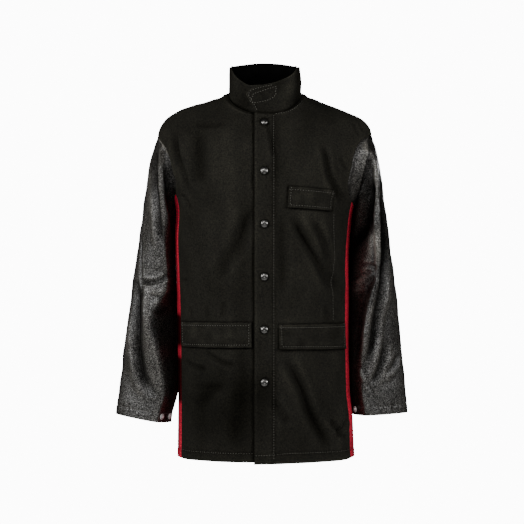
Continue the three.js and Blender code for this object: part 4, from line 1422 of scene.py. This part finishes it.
class JACKET_OT_flaps(bpy.types.Operator):
    """Chest and hip pocket flaps"""

    bl_idname = "jacket.flaps"
    bl_label = "Pocket flaps"

    def execute(self, context):
        sizes = context.scene.jacket_sizes
        for node in FLAPS:
            wide, tall = flap_size(node)
            columns, rows = round(wide / FLAP_GRID), round(tall / FLAP_GRID)
            across, fall = np.meshgrid(np.linspace(0, 1, columns), np.linspace(0, 1, rows))
            points, normals = flap_skin(node, across, fall)
            coords = np.stack([across * wide, -fall * tall], axis=-1)
            edge = np.minimum(np.minimum(across, 1 - across) * wide, (1 - fall) * tall)
            # Painted highlight inside the edges, painted shadow on the rims, and painted shade in the
            # stitching's groove
            wear = 0.2 * bell(edge - 3, 1.6) - bell(edge, 1.2) - 0.3 * bell(edge - FLAP_SEAM, 2)
            # Painted highlight below the top, painted shade along the sewn top, and the whole flap a little
            # darker
            wear += 0.25 * bell(fall * tall - 3, 1.6) - 0.8 * bell(fall * tall, 1.2) - 0.05
            wear += waves(points.reshape(-1, 3), FLAP_BLOTCHES).reshape(wear.shape)
            grid = points, normals, coords, np.clip(wear, -1, 1)
            add_panel(context.scene, node, [grid], sizes.flap)
        return {"FINISHED"}


class JACKET_OT_stitching(bpy.types.Operator):
    """Rows of thread on fronts, hems, flaps, collar and cuffs"""

    bl_idname = "jacket.stitching"
    bl_label = "Stitching"

    def execute(self, context):
        add_stitches("front_stitching", self.front_rows(), context.scene)
        add_stitches("flap_stitching", self.flap_rows(), context.scene)
        add_stitches("collar_stitching", self.collar_rows(), context.scene)
        add_stitches("cuff_stitching", self.cuff_rows(), context.scene)
        return {"FINISHED"}

    def front_rows(self):
        """Lap, both hems, the line under the chest flap and the left half of the neck."""
        across = np.linspace(LAP_EDGE + 2, HEM_ROW_END, 160)
        turn = np.radians(np.linspace(15, 72, 120))
        lines = [
            ("left_front", LAP_SEAM, np.linspace(-50, -748, 500)),
            ("left_front", across, hem_level("left_front", across) + HEM_SEAM),
            ("right_front", np.linspace(LAP_EDGE - 2, -HEM_ROW_END, 120), HEM + HEM_SEAM),
            ("left_front", POCKET_SEAM, np.linspace(-250, -468, 160)),
            ("left_front", (NECK_HALF + 5) * np.sin(turn), (NECK_FRONT - 4.5) * np.cos(turn)),
        ]
        rows = []
        for node, x, z in lines:
            x, z = np.broadcast_arrays(np.asarray(x, float), np.asarray(z, float))
            rows.append(body_skin(node, angle_at_x(x, z), z))
        return rows

    def flap_rows(self):
        """Round the two ends and the foot of each flap, and along its top."""
        t = np.linspace(0, 1, 220)
        rows = []
        for node in FLAPS:
            wide, tall = flap_size(node)
            end, foot = FLAP_SEAM / (wide * FLAP_FULLNESS), 1 - FLAP_SEAM / tall
            rows.append(flap_skin(node, end, mix(0.02, foot, t)))
            rows.append(flap_skin(node, mix(end, 1 - end, t), foot))
            rows.append(flap_skin(node, 1 - end, mix(foot, 0.02, t)))
            rows.append(flap_skin(node, mix(0.01, 0.99, t), FLAP_TOP_SEAM / tall))
        return rows

    def collar_rows(self):
        """Top and end of the tab, and the box sewn on it."""
        box = dense(TAB_BOX, 160)
        return [
            collar_skin(np.linspace(0.90, 0.99, 160), 0.93),
            collar_skin(0.99, np.linspace(0.1, 0.93, 220)),
            collar_skin(box[:, 0], box[:, 1]),
        ]

    def cuff_rows(self):
        """One row round each cuff."""
        along = 1 - CUFF_SEAM / SLEEVE_LENGTH
        return [sleeve_skin(name, np.linspace(0, 1, 400), along) for name in ("left", "right")]


def snap_mesh(name, profile, place, radius, high, sides, shaded_bands):
    """Lathe solid of a snap, standing on a surface point. Its bands of painted shade take the second
    material.
    """
    point, normal = (part[0] for part in place)
    profile = np.array(profile) * (radius, high)
    turn = np.arange(sides) / sides * 2 * np.pi
    up = normal / np.linalg.norm(normal)
    aside = np.cross(up, (0.0, 0.0, 1.0))
    aside /= np.linalg.norm(aside)
    around = np.cos(turn)[:, None] * aside + np.sin(turn)[:, None] * np.cross(up, aside)
    rings = [point + up * h + r * around for r, h in profile[1:-1]]
    vertices = np.concatenate([[point + up * profile[0][1]], *rings, [point + up * profile[-1][1]]])
    faces = []
    last = len(vertices) - 1
    bands = [int(i in shaded_bands) for i in range(len(rings) + 1)]
    for k in range(sides):
        n = (k + 1) % sides
        faces.append((0, 1 + k, 1 + n, 1 + n))
        for i in range(len(rings) - 1):
            low, top = 1 + i * sides, 1 + (i + 1) * sides
            faces.append((low + k, top + k, top + n, low + n))
        low = 1 + (len(rings) - 1) * sides
        faces.append((low + k, last, low + n, low + n))
    piece = add_mesh(name, vertices, np.array(faces))
    piece.data.polygons.foreach_set("material_index", np.array(bands * sides, dtype=np.int32))
    return piece


class JACKET_OT_snaps(bpy.types.Operator):
    """Domed front snaps and bright cuff snaps"""

    bl_idname = "jacket.snaps"
    bl_label = "Snaps"

    def execute(self, context):
        scene = context.scene
        sizes = scene.jacket_sizes
        # The rim finish is painted shade on the rims and channels
        domed, dark, bright = (finish_of(scene, colour) for colour in ("gunmetal", "rim", "nickel"))
        size = sizes.snap_radius, SNAP_HEIGHT, sizes.snap_sides
        for i, level in enumerate(SNAP_LEVELS, 1):
            z = np.array([float(level)])
            place = body_skin("left_front", angle_at_x(np.array([SNAP_X]), z), z)
            piece = snap_mesh(f"front_snap_cap_{i}", FRONT_CAP, place, *size, FRONT_RIM_SHADE)
            finish_piece(piece, [domed, dark], "gunmetal", f"front_snap_{i}")
        size = sizes.cuff_snap_radius, CUFF_SNAP_HEIGHT, sizes.snap_sides
        for name, turns in CUFF_SNAPS.items():
            for i, turn in enumerate(turns, 1):
                place = sleeve_skin(name, np.array([turn]), np.array([CUFF_SNAP_ALONG]))
                piece = snap_mesh(f"{name}_cuff_snap_cap_{i}", CUFF_CAP, place, *size, CUFF_CHANNEL_SHADE)
                finish_piece(piece, [bright, dark], "nickel", f"{name}_cuff_snap_{i}")
        return {"FINISHED"}


class JACKET_OT_stage(bpy.types.Operator):
    """Pale floor, soft lights, white surroundings and the camera"""

    bl_idname = "jacket.stage"
    bl_label = "Stage"

    def execute(self, context):
        scene = context.scene
        stage = scene.jacket_stage
        turn = np.linspace(0, 2 * np.pi, FLOOR_SIDES, endpoint=False)
        ring = FLOOR_RADIUS * np.cos(turn), FLOOR_RADIUS * np.sin(turn), 0 * turn + stage.floor / MM
        floor = add_mesh("floor", np.stack(ring, axis=1), np.arange(FLOOR_SIDES)[None])
        floor.data.materials.append(floor_material("pale floor"))
        for name, place, size in LIGHTS:
            self.add_light(scene, f"{name} light", Vector(place), size, getattr(stage, name))
        self.add_world(scene)
        data = bpy.data.cameras.new("camera")
        data.lens, data.sensor_width = stage.lens, SENSOR_WIDTH
        camera = bpy.data.objects.new("camera", data)
        camera.location = (stage.aside, -stage.distance, stage.height)
        camera.rotation_euler = (math.radians(90), 0, 0)
        scene.collection.objects.link(camera)
        scene.camera = camera
        return {"FINISHED"}

    def add_light(self, scene, name, place, size, power):
        """Round soft light that faces the jacket's middle."""
        data = bpy.data.lights.new(name, "AREA")
        data.shape, data.size, data.energy = "DISK", size, power
        light = bpy.data.objects.new(name, data)
        light.location = place
        light.rotation_euler = (Vector(LIGHT_AIM) - place).to_track_quat("-Z", "Y").to_euler()
        scene.collection.objects.link(light)

    def add_world(self, scene):
        """White to the camera, dimmer as light, so that dark cloth keeps its depth."""
        world = bpy.data.worlds.new("white surroundings")
        scene.world = world
        world.use_nodes = True
        nodes, links = world.node_tree.nodes, world.node_tree.links
        seen, lit = nodes.new("ShaderNodeBackground"), nodes["Background"]
        for background, strength in ((seen, SEEN_WHITE), (lit, SKY_LIGHT)):
            background.inputs["Color"].default_value = (1, 1, 1, 1)
            background.inputs["Strength"].default_value = strength
        path = nodes.new("ShaderNodeLightPath")
        both = nodes.new("ShaderNodeMixShader")
        links.new(path.outputs["Is Camera Ray"], both.inputs["Fac"])
        links.new(lit.outputs["Background"], both.inputs[1])
        links.new(seen.outputs["Background"], both.inputs[2])
        links.new(both.outputs["Shader"], nodes["World Output"].inputs["Surface"])


OPERATORS = [
    JACKET_OT_stage,
    JACKET_OT_fronts,
    JACKET_OT_back,
    JACKET_OT_sides,
    JACKET_OT_sleeves,
    JACKET_OT_collar,
    JACKET_OT_flaps,
    JACKET_OT_snaps,
    JACKET_OT_stitching,
]


class JACKET_PT_panel(bpy.types.Panel):
    """Lists the jacket's pieces and their settings"""

    bl_idname = "JACKET_PT_panel"
    bl_label = "Work jacket"
    bl_space_type = "VIEW_3D"
    bl_region_type = "UI"
    bl_category = "Jacket"

    def draw(self, context):
        for group in (context.scene.jacket_sizes, context.scene.jacket_colours, context.scene.jacket_stage):
            box = self.layout.box()
            for name in group.__annotations__:
                box.prop(group, name)
        for operator in OPERATORS:
            self.layout.operator(operator.bl_idname)


CLASSES = [JacketSizes, JacketColours, StageSettings, *OPERATORS, JACKET_PT_panel]


def register():
    for cls in CLASSES:
        bpy.utils.register_class(cls)
    bpy.types.Scene.jacket_sizes = PointerProperty(type=JacketSizes)
    bpy.types.Scene.jacket_colours = PointerProperty(type=JacketColours)
    bpy.types.Scene.jacket_stage = PointerProperty(type=StageSettings)


def unregister():
    for name in ("jacket_sizes", "jacket_colours", "jacket_stage"):
        delattr(bpy.types.Scene, name)
    for cls in reversed(CLASSES):
        bpy.utils.unregister_class(cls)


def main():
    register()
    for operator in OPERATORS:
        group, name = operator.bl_idname.split(".")
        getattr(getattr(bpy.ops, group), name)()


if __name__ == "__main__":
    main()
